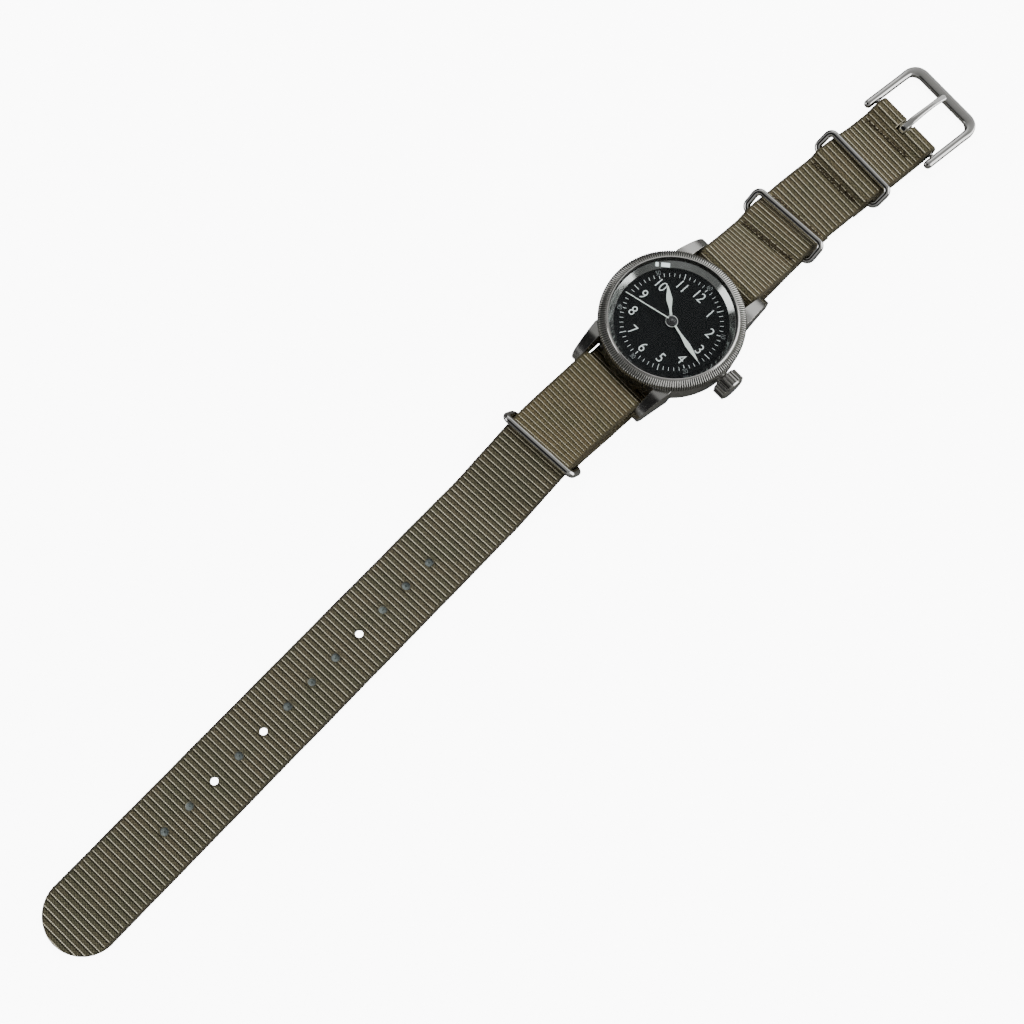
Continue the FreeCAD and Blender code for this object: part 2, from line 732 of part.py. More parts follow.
# ------------------------------------------------------ barrel and winding
def barrel_parts():
    at = (*BARREL, 0)
    build("mainspring_barrel", [
        pad(6.85, 7.15, gear("barrel", mesh("barrel", BARREL, "great_pinion", GREAT)),
            disc(0.86)),
        pad(7.15, 8.25, disc(4.8), disc(4.5)),
        pad(8.25, 8.4, disc(4.8), disc(0.86))], at)
    build("mainspring", [pad(7.22, 8.18, spiral(4.38, 2.0, 5, 0.13))], at)
    build("barrel_arbor", [
        revolve([(0, 4.65), (0.8, 4.65), (0.8, 7.2), (1.3, 7.2), (1.3, 8.2), (0.8, 8.2),
                 (0.8, 8.55), (0, 8.55)])], at)
    ratchet_phase = mesh("ratchet", BARREL, "crown_wheel", CROWN_WHEEL)
    build("ratchet_wheel", [pad(4.62, 4.85, gear("ratchet", ratchet_phase), disc(0.83))], at)
    build("crown_wheel", [
        pad(4.62, 4.85, gear("crown_wheel")),
        pad(4.85, 5.75, disc(0.3))], (*CROWN_WHEEL, 0))


def click():
    """Eye on its post, a pointed arm towards the ratchet wheel and a thin spring leg."""
    x, y = unit(CLICK, BARREL)
    reach = math.dist(CLICK, BARREL) - 5.95
    arm = [(x * 0.5 - y * 0.3, y * 0.5 + x * 0.3), (x * 0.5 + y * 0.3, y * 0.5 - x * 0.3),
           (x * reach, y * reach)]
    build("click", [
        pad(4.55, 4.85, disc(0.6), disc(POST_BORE)),
        pad(4.55, 4.85, outline(arm)),
        pad(4.6, 4.8, strip((-0.3, -0.4), (-1.6, -1.75), 0.14))], (*CLICK, 0))


barrel_parts()
click()

# ------------------------------------------------- going train, escapement
def going_train():
    build("great_wheel", [
        pad(6.55, 6.7, gear("great", mesh("great", GREAT, "third_pinion", THIRD))),
        pad(6.7, 7.2, gear("great_pinion")),
        pad(7.2, 8.95, disc(GREAT_ARBOR)),
        pad(5.0, 6.55, disc(GREAT_ARBOR))], (*GREAT, 0))
    build("third_wheel", [
        pad(5.95, 6.1, gear("third", mesh("third", THIRD, "seconds_pinion", CENTRE))),
        pad(6.1, 6.45, disc(0.3)),
        pad(6.45, 6.8, gear("third_pinion")),
        pad(6.8, PIVOT_TOP, disc(ARBOR)),
        pad(PIVOT_LOW, 5.95, disc(ARBOR))], (*THIRD, 0))
    build("seconds_wheel", [
        pad(6.25, 6.4, gear("seconds", mesh("seconds", CENTRE, "escape_pinion", ESCAPE))),
        pad(5.9, 6.25, gear("seconds_pinion")),
        pad(PIVOT_LOW, 5.9, disc(0.25)),
        pad(6.4, 11.15, disc(0.25))])
    hooked_tooth = ((1.75, -0.1), (2.28, 0.02), (2.3, 0.06), (1.8, 0.16))
    build("escape_wheel", [
        pad(6.2, 6.5, gear("escape_pinion")),
        pad(6.5, 6.95, disc(0.22)),
        pad(6.95, 7.15, toothed(15, 0.0, hooked_tooth)),
        pad(7.15, PIVOT_TOP, disc(ARBOR)),
        pad(PIVOT_LOW, 6.2, disc(ARBOR))], (*ESCAPE, 0))


# Plan of the pallet fork, (towards the balance, across).
FORK_PLAN = [(-0.62, 1.75), (-1.0, 1.35), (-0.55, 0.35), (-0.55, -0.35), (-1.0, -1.35),
             (-0.62, -1.75), (0.0, -0.6), (0.5, -0.22), (1.95, -0.16), (2.25, -0.42),
             (2.5, -0.42), (2.2, -0.12), (2.2, 0.12), (2.5, 0.42), (2.25, 0.42), (1.95, 0.16),
             (0.5, 0.22), (0.0, 0.6)]


def escapement():
    build("pallet_fork", [
        pad(6.98, 7.18, outline([turned(point, LEVER_LINE) for point in FORK_PLAN])),
        pad(7.18, PIVOT_TOP, disc(ARBOR)),
        pad(6.6, 6.98, disc(ARBOR))], (*PALLET, 0))
    build("balance_wheel", [
        pad(6.2, 6.45, disc(3.6), disc(3.2)),
        pad(6.2, 6.35, strip((-3.3, 0.0), (3.3, 0.0), 0.5)),
        pad(6.35, 6.95, disc(0.28)),
        pad(6.95, 7.1, disc(0.55)),
        pad(7.1, PIVOT_TOP, disc(ARBOR)),
        pad(PIVOT_LOW, 6.2, disc(ARBOR))], (*BALANCE, 0))
    build("hairspring", [pad(5.95, 6.08, spiral(2.5, 1.9, 6, 0.06))], (*BALANCE, 0))


going_train()
escapement()

# --------------------------------------- motion and setting works under the dial
def motion_works():
    minute_phase = mesh("minute", MINUTE, "cannon", CENTRE)
    between_phase = mesh("intermediate", INTERMEDIATE, "cannon", CENTRE)
    driving_phase = mesh("driving", GREAT, "intermediate", INTERMEDIATE, between_phase)
    setting_phase = mesh("setting", SETTING, "minute", MINUTE, minute_phase)
    hour_phase = mesh("hour", CENTRE, "minute_pinion", MINUTE)
    build("cannon_pinion", [
        pad(8.7, 8.92, gear("cannon"), disc(0.57)),
        pad(8.92, 10.75, disc(0.74), disc(0.57))])
    build("hour_wheel", [
        pad(8.97, 9.13, gear("hour", hour_phase), disc(0.79)),
        pad(9.13, 10.32, disc(1.05), disc(0.79))])
    build("minute_wheel", [
        pad(8.7, 8.9, gear("minute", minute_phase), disc(POST_BORE)),
        pad(8.9, 9.17, gear("minute_pinion"), disc(POST_BORE))], (*MINUTE, 0))
    build("intermediate_wheel", [
        pad(8.7, 8.9, gear("intermediate", between_phase), disc(POST_BORE))],
        (*INTERMEDIATE, 0))
    build("driving_pinion", [
        pad(8.68, 8.93, gear("driving", driving_phase), disc(0.33))], (*GREAT, 0))
    build("setting_wheel", [
        pad(8.7, 8.9, gear("setting", setting_phase)),
        pad(7.33, 8.7, disc(0.3)),
        pad(6.35, 7.33, disc(1.15))], (*SETTING, 0))


def keyless_arm(name, at, track, low, high, width, past, pin_low, pin_rad):
    """Arm on a post, with a pin down into the middle of a groove on the stem line."""
    x, y = sum(track) / 2 - at[0], -at[1]
    build(name, [
        pad(low, high, strip((-0.1, -0.5), (x + 0.05, y + past), width), disc(POST_BORE)),
        pad(pin_low, low, circle(x, y, pin_rad))], (*at, 0))


motion_works()
keyless_arm("setting_lever", LEVER, LEVER_GROOVE, low=8.88, high=9.02, width=0.9, past=0.4,
            pin_low=6.95, pin_rad=0.2)
keyless_arm("yoke", YOKE, YOKE_GROOVE, low=8.66, high=8.82, width=0.8, past=0.3,
            pin_low=7.14, pin_rad=0.15)

# ------------------------------------------------------------------- hands
def leaf(inner, length, wide, waist):
    """Leaf-shaped plan of a hand along +Y."""
    half = [(waist, inner), (waist, length * 0.34), (wide, length * 0.60),
            (wide * 0.82, length * 0.74), (0.1, length * 0.985)]
    return half + [(0.0, length)] + [(-x, y) for x, y in half[::-1]]


def hand(name, low, high, plan, hub, bore, clockwise):
    """A hand drawn along +Y, then turned clockwise by degrees from 12 o'clock."""
    build(name, [
        pad(low, high, disc(hub)),
        pad(low, high, outline(plan)),
        cut(low - 0.05, high + 0.05, disc(bore)),
    ], turn=Rotation(Vector(0, 0, 1), -clockwise))


second_len = dims.hand_second.value
needle = [(0.14, -0.2), (0.1, second_len), (-0.1, second_len), (-0.14, -0.2)]
hand("hour_hand", 10.12, 10.28, leaf(1.2, dims.hand_hour.value, wide=0.72, waist=0.28),
     hub=1.5, bore=1.08, clockwise=308.6)
hand("minute_hand", 10.5, 10.64, leaf(0.8, dims.hand_minute.value, wide=0.62, waist=0.24),
     hub=1.15, bore=0.77, clockwise=103.0)
hand("second_hand", 10.9, 11.0, needle, hub=0.62, bore=0.255, clockwise=256.2)

# ------------------------------------------------------------- spring bars
def spring_bars():
    """A tube across each lug pair, nine coil rings in it and a stepped tip at each end."""
    half, outer = 8.95, dims.bar_rad
    tubes, coils = [], []
    for end_name, end in ENDS:
        y, z = dims.bar_y * end, dims.bar_z
        tubes.append(build("bar_tube_" + end_name, [
            revolve([(0.5, -half), (outer, -half), (outer, half), (0.5, half)])],
            (0, y, z), ALONG_X, export=False))
        for side_name, side in SIDES:
            build("spring_bar_tip_%s_%s" % (end_name, side_name), [
                revolve([(0, 5.6), (0.45, 5.6), (0.45, 8.6), (0.4, 8.6), (0.4, 10.4),
                         (0, 10.4)])],
                (0, y, z), Rotation(Vector(0, 1, 0), 90.0 * side))
        for k in range(9):
            coil = doc.addObject("Part::Torus", "coil_%s_%d" % (end_name, k))
            coil.Radius1, coil.Radius2 = 0.33, 0.1
            place(coil, (-4.0 + k, y, z), ALONG_X)
            coils.append(coil)
    group("spring_bar_springs", coils)
    group("spring_bar_tubes", tubes)


spring_bars()

# ---------------------------------------------------------- strap geometry
def ribbon(path, thick):
    """Closed outline of a band along a path of (y, z, corner radius)."""
    points = [station[:2] for station in path]
    lines, bends = [], []
    start = points[0]
    for before, (y, z, radius), after in zip(points, path[1:-1], points[2:]):
        into, away = unit(before, (y, z)), unit((y, z), after)
        bend = math.atan2(into[0] * away[1] - into[1] * away[0],
                          into[0] * away[0] + into[1] * away[1])
        trim = radius * math.tan(abs(bend) / 2)
        sign = math.copysign(1.0, bend)
        end = (y - into[0] * trim, z - into[1] * trim)
        centre = (end[0] - into[1] * radius * sign, end[1] + into[0] * radius * sign)
        lines.append((start, end, into))
        bends.append((end, centre, radius, bend, sign))
        start = (y + away[0] * trim, z + away[1] * trim)
    lines.append((start, points[-1], unit(points[-2], points[-1])))

    curves, starts, finishes = [], [], []
    for offset in (thick / 2, -thick / 2):
        for k, (start, end, along) in enumerate(lines):
            side = (-along[1] * offset, along[0] * offset)
            start, end = moved(start, side), moved(end, side)
            if k == 0:
                starts.append(start)
            # two quarter bends round a bar meet with no straight between them
            if math.dist(start, end) > 1e-6:
                curves.append(Part.LineSegment(Vector(*start, 0), Vector(*end, 0)))
            if k < len(bends):
                touch, centre, radius, bend, sign = bends[k]
                first = math.atan2(touch[1] - centre[1], touch[0] - centre[0])
                arc = [moved(centre, polar(radius - offset * sign,
                                           math.degrees(first + bend * share)))
                       for share in (0.0, 0.5, 1.0)]
                curves.append(Part.Arc(*[Vector(*point, 0) for point in arc]))
        finishes.append(end)
    for one, other in (starts, finishes):
        curves.append(Part.LineSegment(Vector(*one, 0), Vector(*other, 0)))
    return (draw_curves, curves)


def over_bar(bar_y, bar_z, radius, far):
    """Corner between the riser on the case side of a bar and the tangent to far."""
    sign = 1.0 if bar_y > 0 else -1.0
    far_y, far_z = far[0] * sign, far[1]
    bar_y *= sign
    reach = math.hypot(far_y - bar_y, far_z - bar_z)
    angle = math.atan2(far_z - bar_z, far_y - bar_y) + math.acos(radius / reach)
    touch_y = bar_y + radius * math.cos(angle)
    touch_z = bar_z + radius * math.sin(angle)
    slope = (far_z - touch_z) / (far_y - touch_y)
    riser_y = bar_y - radius
    return (riser_y * sign, touch_z + (riser_y - touch_y) * slope)


def band(name, shape, width, frame):
    """A shape of (y, z) padded across X, centred, then put in a frame."""
    width = size(width)
    body = build(name, [pad(width * -0.5, width * 0.5, shape)], export=False)
    body.Placement = frame.multiply(Placement(Vector(0, 0, 0), ACROSS))
    return body


def strap_runs(name, runs):
    return [band("%s_run_%d" % (name, k), ribbon(path, THICK), dims.strap_wide, frame)
            for k, (path, frame) in enumerate(runs)]


def yawed(degrees, y):
    """Turn in plan about the point (0, y)."""
    return Placement(Vector(0, 0, 0), Rotation(Vector(0, 0, 1), degrees), Vector(0, y, 0))


THICK = dims.strap_thick.value
FLOOR = THICK / 2                   # middle of a band lying on the resting plane
BAR_WRAP = dims.bar_rad.value + 0.1 + THICK / 2
PIN_WRAP = dims.pin_rad.value + 0.05 + THICK / 2
RING_WRAP = dims.ring_wire.value + 0.05 + THICK / 2
PIN_Y, PIN_Z = dims.pin_y.value, dims.pin_z.value
TAIL_LEN = dims.tail_len.value
RING_3_Y = -40.4                    # keeper ring 3's held bar

# The band turns sideways at Y -38, 25 and 45.5.
MID_YAW, BUCKLE_YAW = dims.mid_yaw.value, dims.buckle_yaw.value
HEAD_FRAME = Placement()
TAIL_FRAME = yawed(dims.tail_yaw.value, -38.0)
MID_FRAME = yawed(MID_YAW, 25.0)
BUCKLE_FRAME = MID_FRAME.multiply(yawed(-BUCKLE_YAW - MID_YAW, 45.5))

SIX_FAR, TWELVE_FAR = (-37.5, 5.0), (33.0, 3.25)  # where the drops from the bars end
BAR_Y, BAR_Z = dims.bar_y.value, dims.bar_z.value
SIX = over_bar(-BAR_Y, BAR_Z, BAR_WRAP, SIX_FAR)
TWELVE = over_bar(BAR_Y, BAR_Z, BAR_WRAP, TWELVE_FAR)


def fall(y):
    """Height of the band where it drops from the 12 o'clock bar towards keeper ring 2."""
    slope = (TWELVE_FAR[1] - TWELVE[1]) / (TWELVE_FAR[0] - TWELVE[0])
    return TWELVE[1] + (y - TWELVE[0]) * slope


# Middle lines of the bands: (y, z, corner radius).
MIDDLE = [(47.0, 1.9, 0), (45.24, 1.9, 2.0), (39.4, 4.28, 2.0), (36.6, 4.28, 2.0),
          (*TWELVE_FAR, 3.0), (24.2, fall(24.2), 0)]
HEAD = [(25.8, fall(25.8), 0), (*TWELVE, BAR_WRAP), (TWELVE[0], 1.88, 1.0),
        (SIX[0], 1.88, 1.0), (*SIX, BAR_WRAP), (*SIX_FAR, 6.0), (-38.6, 4.98, 0)]
TAIL = [(-38.0, 4.99, 0), (-43.2, 4.97, 6.0), (-60.5, FLOOR, 12.0), (-TAIL_LEN, FLOOR, 0)]
FOLD = [(56.3, FLOOR, 0), (PIN_Y + PIN_WRAP, FLOOR, PIN_WRAP),
        (PIN_Y + PIN_WRAP, PIN_Z + PIN_WRAP, PIN_WRAP), (80.2, PIN_Z + PIN_WRAP, 2.0),
        (77.0, 1.9, 2.5), (71.5, 1.9, 4.0), (63.6, 3.72, 2.0), (60.0, 3.72, 1.2),
        (58.2, 1.9, 1.2), (44.3, 1.9, 0)]
UNDER = [(24.4, FLOOR, 0), (-38.6, FLOOR, 0)]
UNDER_MID = [(47.4, 0.62, 0), (42.5, 0.62, 6.0), (38.5, 1.2, 6.0), (33.0, 1.2, 6.0),
             (25.0, FLOOR, 8.0), (22.4, FLOOR, 0)]
# round keeper ring 3's held bar and back
LOOP_Y, LOOP_TOP = RING_3_Y - RING_WRAP, FLOOR + 2 * RING_WRAP
LOOP = [(-37.6, FLOOR, 0), (LOOP_Y, FLOOR, RING_WRAP), (LOOP_Y, LOOP_TOP, RING_WRAP),
        (-37.9, LOOP_TOP, 2.0), (-33.8, 1.87, 2.0), (-27.0, 1.87, 0)]


# --------------------------------------------------------------- the straps
def main_strap():
    runs = strap_runs("strap", [(HEAD, HEAD_FRAME), (MIDDLE, MID_FRAME), (TAIL, TAIL_FRAME),
                                (FOLD, BUCKLE_FRAME)])
    raw = fuse("strap_raw", runs)
    holes = []
    for k in range(12):
        hole = cylinder("strap_hole_%d" % k, dims.hole_rad, 3.0)
        y = -(dims.hole_first.value + k * dims.hole_gap.value)
        hole.Placement = TAIL_FRAME.multiply(shift(0, y, -0.8))
        holes.append(hole)
    # half-round tip: what lies in the box but outside the disc is cut away
    end_box = box("tip_box", (22.0, 12.0, 4.0), (-11.0, -TAIL_LEN - 3.0, -1.0), TAIL_FRAME)
    tip_rad = dims.strap_wide * 0.5
    tip_disc = cylinder("tip_disc", tip_rad, 6.0)
    tip_disc.Placement = TAIL_FRAME.multiply(shift(0, -TAIL_LEN + tip_rad.value, -2.0))
    tip = combine("Cut", "tip_cut", end_box, tip_disc)
    slot = box("tongue_slot", (2.8, 6.3, 6.0), (-1.4, PIN_Y - 2.5, -0.5), BUCKLE_FRAME)
    PARTS.append(combine("Cut", "main_strap", raw, fuse("strap_cuts", holes + [tip, slot])))


main_strap()
PARTS.append(fuse("under_strap", strap_runs("under", [
    (UNDER, HEAD_FRAME), (UNDER_MID, MID_FRAME), (LOOP, TAIL_FRAME)])))


# ------------------------------------------------------------ keeper rings
def keeper_ring(name, y, z, lean, frame, reverse=False):
    """Rounded rectangle of wire: its held bar at (y, z), the free bar leaning up.

    The free bar lies towards +Y of the frame, or towards -Y when reversed."""
    half = dims.ring_in.value + dims.ring_wire.value
    reach, corner = dims.ring_reach.value, 1.4
    x, low, high = half - corner, corner, reach - corner
    # ends of the four straights, then the corner centre that follows each
    points = [Vector(*point, 0) for point in (
        (-x, 0), (x, 0), (half, low), (half, high), (x, reach), (-x, reach),
        (-half, high), (-half, low))]
    centres = [Vector(*point, 0) for point in ((x, low), (x, high), (-x, high), (-x, low))]
    curves = []
    for k, centre in enumerate(centres):
        start, end, following = points[2 * k], points[2 * k + 1], points[(2 * k + 2) % 8]
        curves += [Part.LineSegment(start, end), corner_arc(end, centre, following)]
    body = sweep(name, curves, "YZ_Plane", 0.0, disc(dims.ring_wire))
    held = shift(0, y, z)
    if reverse:
        held = held.multiply(spin((0, 0, 1), 180.0))
    body.Placement = frame.multiply(held.multiply(spin((1, 0, 0), lean)))
    PARTS.append(body)


keeper_ring("keeper_ring_1", 61.2, 2.16, 32.0, BUCKLE_FRAME)
keeper_ring("keeper_ring_2", 37.4, 2.74, 34.0, MID_FRAME)
keeper_ring("keeper_ring_3", RING_3_Y, 2.14, 55.0, TAIL_FRAME, reverse=True)

# --------------------------------------------------------------- the buckle
# Drawn about the buckle bar, which lies on X; Y runs from it to the far bar.
BUCKLE_TILT = -3.6
BUCKLE_AT = BUCKLE_FRAME.multiply(
    Placement(Vector(0, PIN_Y, PIN_Z), Rotation(Vector(1, 0, 0), BUCKLE_TILT)))


def buckle_frame():
    """U-shaped rod with ball ends and a flat far bar, drilled for the buckle bar."""
    half, far, near, corner = dims.frame_half.value, 14.4, -2.4, 3.2
    x, y = half - corner, far - corner
    left_low, left_top = Vector(-half, near, 0), Vector(-half, y, 0)
    far_left, far_right = Vector(-x, far, 0), Vector(x, far, 0)
    right_top, right_low = Vector(half, y, 0), Vector(half, near, 0)
    rod = sweep("frame_rod", [
        Part.LineSegment(left_low, left_top),
        corner_arc(left_top, Vector(-x, y, 0), far_left),
        Part.LineSegment(far_left, far_right),
        corner_arc(far_right, Vector(x, y, 0), right_top),
        Part.LineSegment(right_top, right_low),
    ], "XZ_Plane", -near, circle(dims.frame_half * -1.0, 0, dims.frame_wire))
    balls = []
    for side_name, side in SIDES:
        ball = doc.addObject("Part::Sphere", "frame_end_" + side_name)
        ball.Radius = dims.frame_wire.value
        bind(ball, "Radius", dims.frame_wire)
        place(ball, (half * side, near, 0))
        balls.append(ball)
    far_bar = box("far_bar", (2 * half - 5.0, 2.5, 1.5), (-half + 2.5, far - 1.15, -0.75))
    fused = fuse("frame_fused", [rod] + balls + [far_bar])
    bar_hole = cylinder("frame_bar_hole", 0.62, 30.0, (-15.0, 0, 0), ALONG_X)
    frame = combine("Cut", "buckle_frame", fused, bar_hole)
    frame.Placement = BUCKLE_AT
    PARTS.append(frame)


def buckle_bar():
    pin = dims.pin_rad
    bar = build("buckle_bar", [
        revolve([(0, -11.0), (0.58, -11.0), (0.58, -9.4), (pin, -9.3), (pin, 9.3), (0.58, 9.4),
                 (0.58, 11.0), (0, 11.0)])])
    bar.Placement = BUCKLE_AT.multiply(Placement(Vector(0, 0, 0), ALONG_X))


# Side outline of the tongue's arm, (y, z) from the buckle bar.
TONGUE_SIDE = [(-1.0, 1.5), (0.2, 2.1), (3.0, 2.55), (8.0, 2.6), (11.6, 2.35), (13.4, 1.85),
               (13.9, 1.55), (13.8, 1.22), (12.0, 1.22), (8.5, 1.25), (4.6, 1.15), (2.6, 0.6),
               (1.9, 0.0), (0.0, 0.0)]


def buckle_tongue():
    """An eye round the bar and an arm that arches over the strap to the far bar."""
    wide = 1.9
    arm = band("tongue_arm", outline(TONGUE_SIDE), wide, Placement())
    eye = cylinder("tongue_eye", 1.85, wide, (-wide / 2, 0, 0), ALONG_X)
    bore = cylinder("tongue_bore", 0.97, 4.0, (-2.0, 0, 0), ALONG_X)
    tongue = combine("Cut", "buckle_tongue", fuse("tongue_fused", [arm, eye]), bore)
    tongue.Placement = BUCKLE_AT
    PARTS.append(tongue)


buckle_frame()
buckle_bar()
buckle_tongue()

# ---------------------------------------------------------------- stitching
# Rows of threads across the strap: y, surface height, frame.
STITCH_ROWS = ((76.0, 2.5, BUCKLE_FRAME), (57.6, 2.5, BUCKLE_FRAME),
               (44.2, 3.02, MID_FRAME), (33.6, 4.02, MID_FRAME))
THREAD = (1.2, 0.3, 0.22)
THREAD_PITCH = 2.1
threads = []
for k, (y, top, frame) in enumerate(STITCH_ROWS):
    for j in range(8):
        corner = (-8.0 + j * THREAD_PITCH, y - THREAD[1] / 2, top + 0.12)
        threads.append(box("thread_%d_%d" % (k, j), THREAD, corner, frame))
group("stitching", threads)

# --------------------------------------------------------- check and export
doc.recompute()
for obj in doc.Objects:
    if any(word in obj.State for word in ("Invalid", "Error")):
        raise RuntimeError("failed object: %s %s" % (obj.Name, obj.State))
for part in PARTS:
    if part.Shape.isNull() or not part.Shape.isValid() or not part.Shape.Solids:
        raise RuntimeError("bad shape: " + part.Label)
os.makedirs("parts", exist_ok=True)
for part in PARTS:
    part.Shape.exportStep("parts/%s.step" % part.Label)
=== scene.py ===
"""A field watch on a one-piece ribbed nylon strap, laid out flat with its dial up.

The dial centre is over the origin and +Z is up. Twelve o'clock and the buckle lie towards +Y,
the tail with its holes towards -Y. Sizes are in millimetres unless a name or comment says metres;
MM turns them into the scene's metres.
"""
import json
import math
import random

import bmesh
import bpy
import numpy as np
from mathutils import Matrix, Vector


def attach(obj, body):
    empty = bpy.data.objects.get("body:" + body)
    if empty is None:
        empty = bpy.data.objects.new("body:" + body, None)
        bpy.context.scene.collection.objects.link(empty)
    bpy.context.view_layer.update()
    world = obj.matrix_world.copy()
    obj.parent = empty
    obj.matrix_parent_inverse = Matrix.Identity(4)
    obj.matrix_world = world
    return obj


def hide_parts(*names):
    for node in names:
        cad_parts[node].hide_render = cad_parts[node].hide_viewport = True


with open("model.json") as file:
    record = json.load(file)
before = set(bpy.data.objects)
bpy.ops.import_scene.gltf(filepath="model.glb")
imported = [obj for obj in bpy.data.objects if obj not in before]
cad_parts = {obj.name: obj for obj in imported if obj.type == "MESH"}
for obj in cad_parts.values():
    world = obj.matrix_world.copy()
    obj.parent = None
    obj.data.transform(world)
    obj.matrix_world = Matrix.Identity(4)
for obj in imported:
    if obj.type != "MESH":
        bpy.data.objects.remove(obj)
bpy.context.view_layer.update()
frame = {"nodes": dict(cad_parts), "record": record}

random.seed(7)

MM = 0.001
TAU = 2 * math.pi

# strap weave
RIB_PITCH = 1.40
RIB_START = 70.0            # added to the run before the ribs are counted
STRAP_HALF_WIDTH = 9.18
STRAP_HALF_THICK = 0.6
TIP_LENGTH = 9.0            # rounded end of the tail
HOLE_Y = [-(80.2 + 7.7 * k) for k in range(12)]

# the strap seen from above turns at three places, each turn spread over BEND_LENGTH of y
BEND_LENGTH = 6.0
TAIL_BEND_Y, TAIL_YAW = -35.0, math.radians(3.96)
MID_BEND_Y, MID_YAW = 22.0, math.radians(2.8)
BUCKLE_BEND_Y, BUCKLE_YAW = 42.5, math.radians(-2.8)

# spring bars, and the radius of the strap's middle round them
BAR_Y, BAR_Z, BAR_WRAP = 20.3, 5.2, 1.45

REEDS = 192                 # round the bezel
DIAL_Z = 9.9


# ---------------------------------------------------------------- node helper
class Nodes:
    """Node tree of a material or world. Its object coordinates are in mm."""

    def __init__(self, owner, output="ShaderNodeOutputMaterial"):
        owner.use_nodes = True
        self.owner = owner
        self.tree = owner.node_tree
        self.tree.nodes.clear()
        self.output = self.tree.nodes.new(output)

    def add(self, kind, inputs=None, **props):
        """Make a node; each input is linked from a socket or node, or set to a value."""
        node = self.tree.nodes.new(kind)
        for key, value in props.items():
            setattr(node, key, value)
        for key, value in (inputs or {}).items():
            socket = node.inputs[key]
            if isinstance(value, bpy.types.NodeSocket):
                self.tree.links.new(value, socket)
            elif isinstance(value, bpy.types.Node):
                self.tree.links.new(value.outputs[0], socket)
            else:
                socket.default_value = value
        return node

    def math(self, operation, a, b=0.0):
        return self.add("ShaderNodeMath", {0: a, 1: b, 2: 0.0}, operation=operation).outputs[0]

    def plus(self, total, *others):
        for other in others:
            total = self.math("ADD", total, other)
        return total

    def times(self, total, *others):
        for other in others:
            total = self.math("MULTIPLY", total, other)
        return total

    def minus(self, a, b):
        return self.math("SUBTRACT", a, b)

    def vector(self, operation, *inputs):
        return self.add("ShaderNodeVectorMath", dict(enumerate(inputs)), operation=operation)

    def separate(self, vector):
        return self.add("ShaderNodeSeparateXYZ", {"Vector": vector}).outputs

    def radius(self, xyz):
        return self.math("SQRT", self.plus(self.math("POWER", xyz[0], 2.0),
                                           self.math("POWER", xyz[1], 2.0)))

    def remap(self, value, to, over=(0.3, 0.7)):
        return self.add("ShaderNodeMapRange", {
            "Value": value, "From Min": over[0], "From Max": over[1],
            "To Min": to[0], "To Max": to[1]}).outputs["Result"]

    def rise(self, value, start, end):
        return self.remap(value, to=(0.0, 1.0), over=(start, end))

    def fall(self, value, start, end):
        return self.remap(value, to=(1.0, 0.0), over=(start, end))

    def ramp(self, factor, stops):
        node = self.add("ShaderNodeValToRGB", {"Fac": factor})
        elements = node.color_ramp.elements
        while len(elements) < len(stops):
            elements.new(0.5)
        for element, (position, color) in zip(elements, stops):
            element.position = position
            element.color = (*color, 1.0)
        return node.outputs["Color"]

    def shade(self, factor, low, high, start=0.3, end=0.7):
        return self.ramp(factor, [(start, low), (end, high)])

    def mix(self, factor, base, over, **props):
        if isinstance(over, tuple):
            over = (*over, 1)
        return self.add("ShaderNodeMix", {0: factor, 6: base, 7: over}, data_type="RGBA",
                        **props).outputs[2]

    def coords(self, stretch=(1, 1, 1)):
        source = self.add("ShaderNodeTexCoord").outputs["Object"]
        scale = tuple(1000.0 * part for part in stretch)
        return self.add("ShaderNodeMapping", {"Vector": source, "Scale": scale}).outputs["Vector"]

    def noise(self, vector, scale, detail=4.0, rough=0.55):
        return self.add("ShaderNodeTexNoise", {"Vector": vector, "Scale": scale, "Detail": detail,
                                               "Roughness": rough}).outputs["Fac"]

    def bump(self, height, strength, distance, **more):
        """Bump normal; distance is in metres."""
        return self.add("ShaderNodeBump", {"Strength": strength, "Distance": distance,
                                           "Height": height, **more}).outputs[0]

    def camera_ray(self):
        return self.add("ShaderNodeLightPath").outputs["Is Camera Ray"]

    def principled(self, **inputs):
        named = {key.replace("_", " "): value for key, value in inputs.items()}
        return self.add("ShaderNodeBsdfPrincipled", named)

    def surface(self, shader):
        self.tree.links.new(shader.outputs[0], self.output.inputs["Surface"])
        return self.owner


def new_material(name):
    return Nodes(bpy.data.materials.new(name))


# ------------------------------------------------------------------ materials
def metal(name, color, rough, spread=0.05, stretch=(1, 1, 1), bump=0.02, grain=6.0,
          edge=0.06, tint=0.12):
    """Metal with fine grain and slow patches; edge is the shaded rounding of its edges."""
    mat = new_material(name)
    grain_coords = mat.coords(stretch)
    slow = mat.noise(mat.coords(), scale=0.6, detail=3)
    fine = mat.noise(grain_coords, scale=grain, detail=5, rough=0.6)
    rounded = mat.add("ShaderNodeBevel", {"Radius": edge * MM}, samples=4)
    return mat.surface(mat.principled(
        Base_Color=mat.shade(slow, tuple(c * (1 - tint) for c in color), color),
        Metallic=1.0,
        Roughness=mat.plus(mat.remap(fine, to=(rough - spread, rough + spread)),
                           mat.remap(slow, to=(-0.02, 0.03))),
        Normal=mat.bump(fine, strength=bump, distance=0.00002, Normal=rounded)))


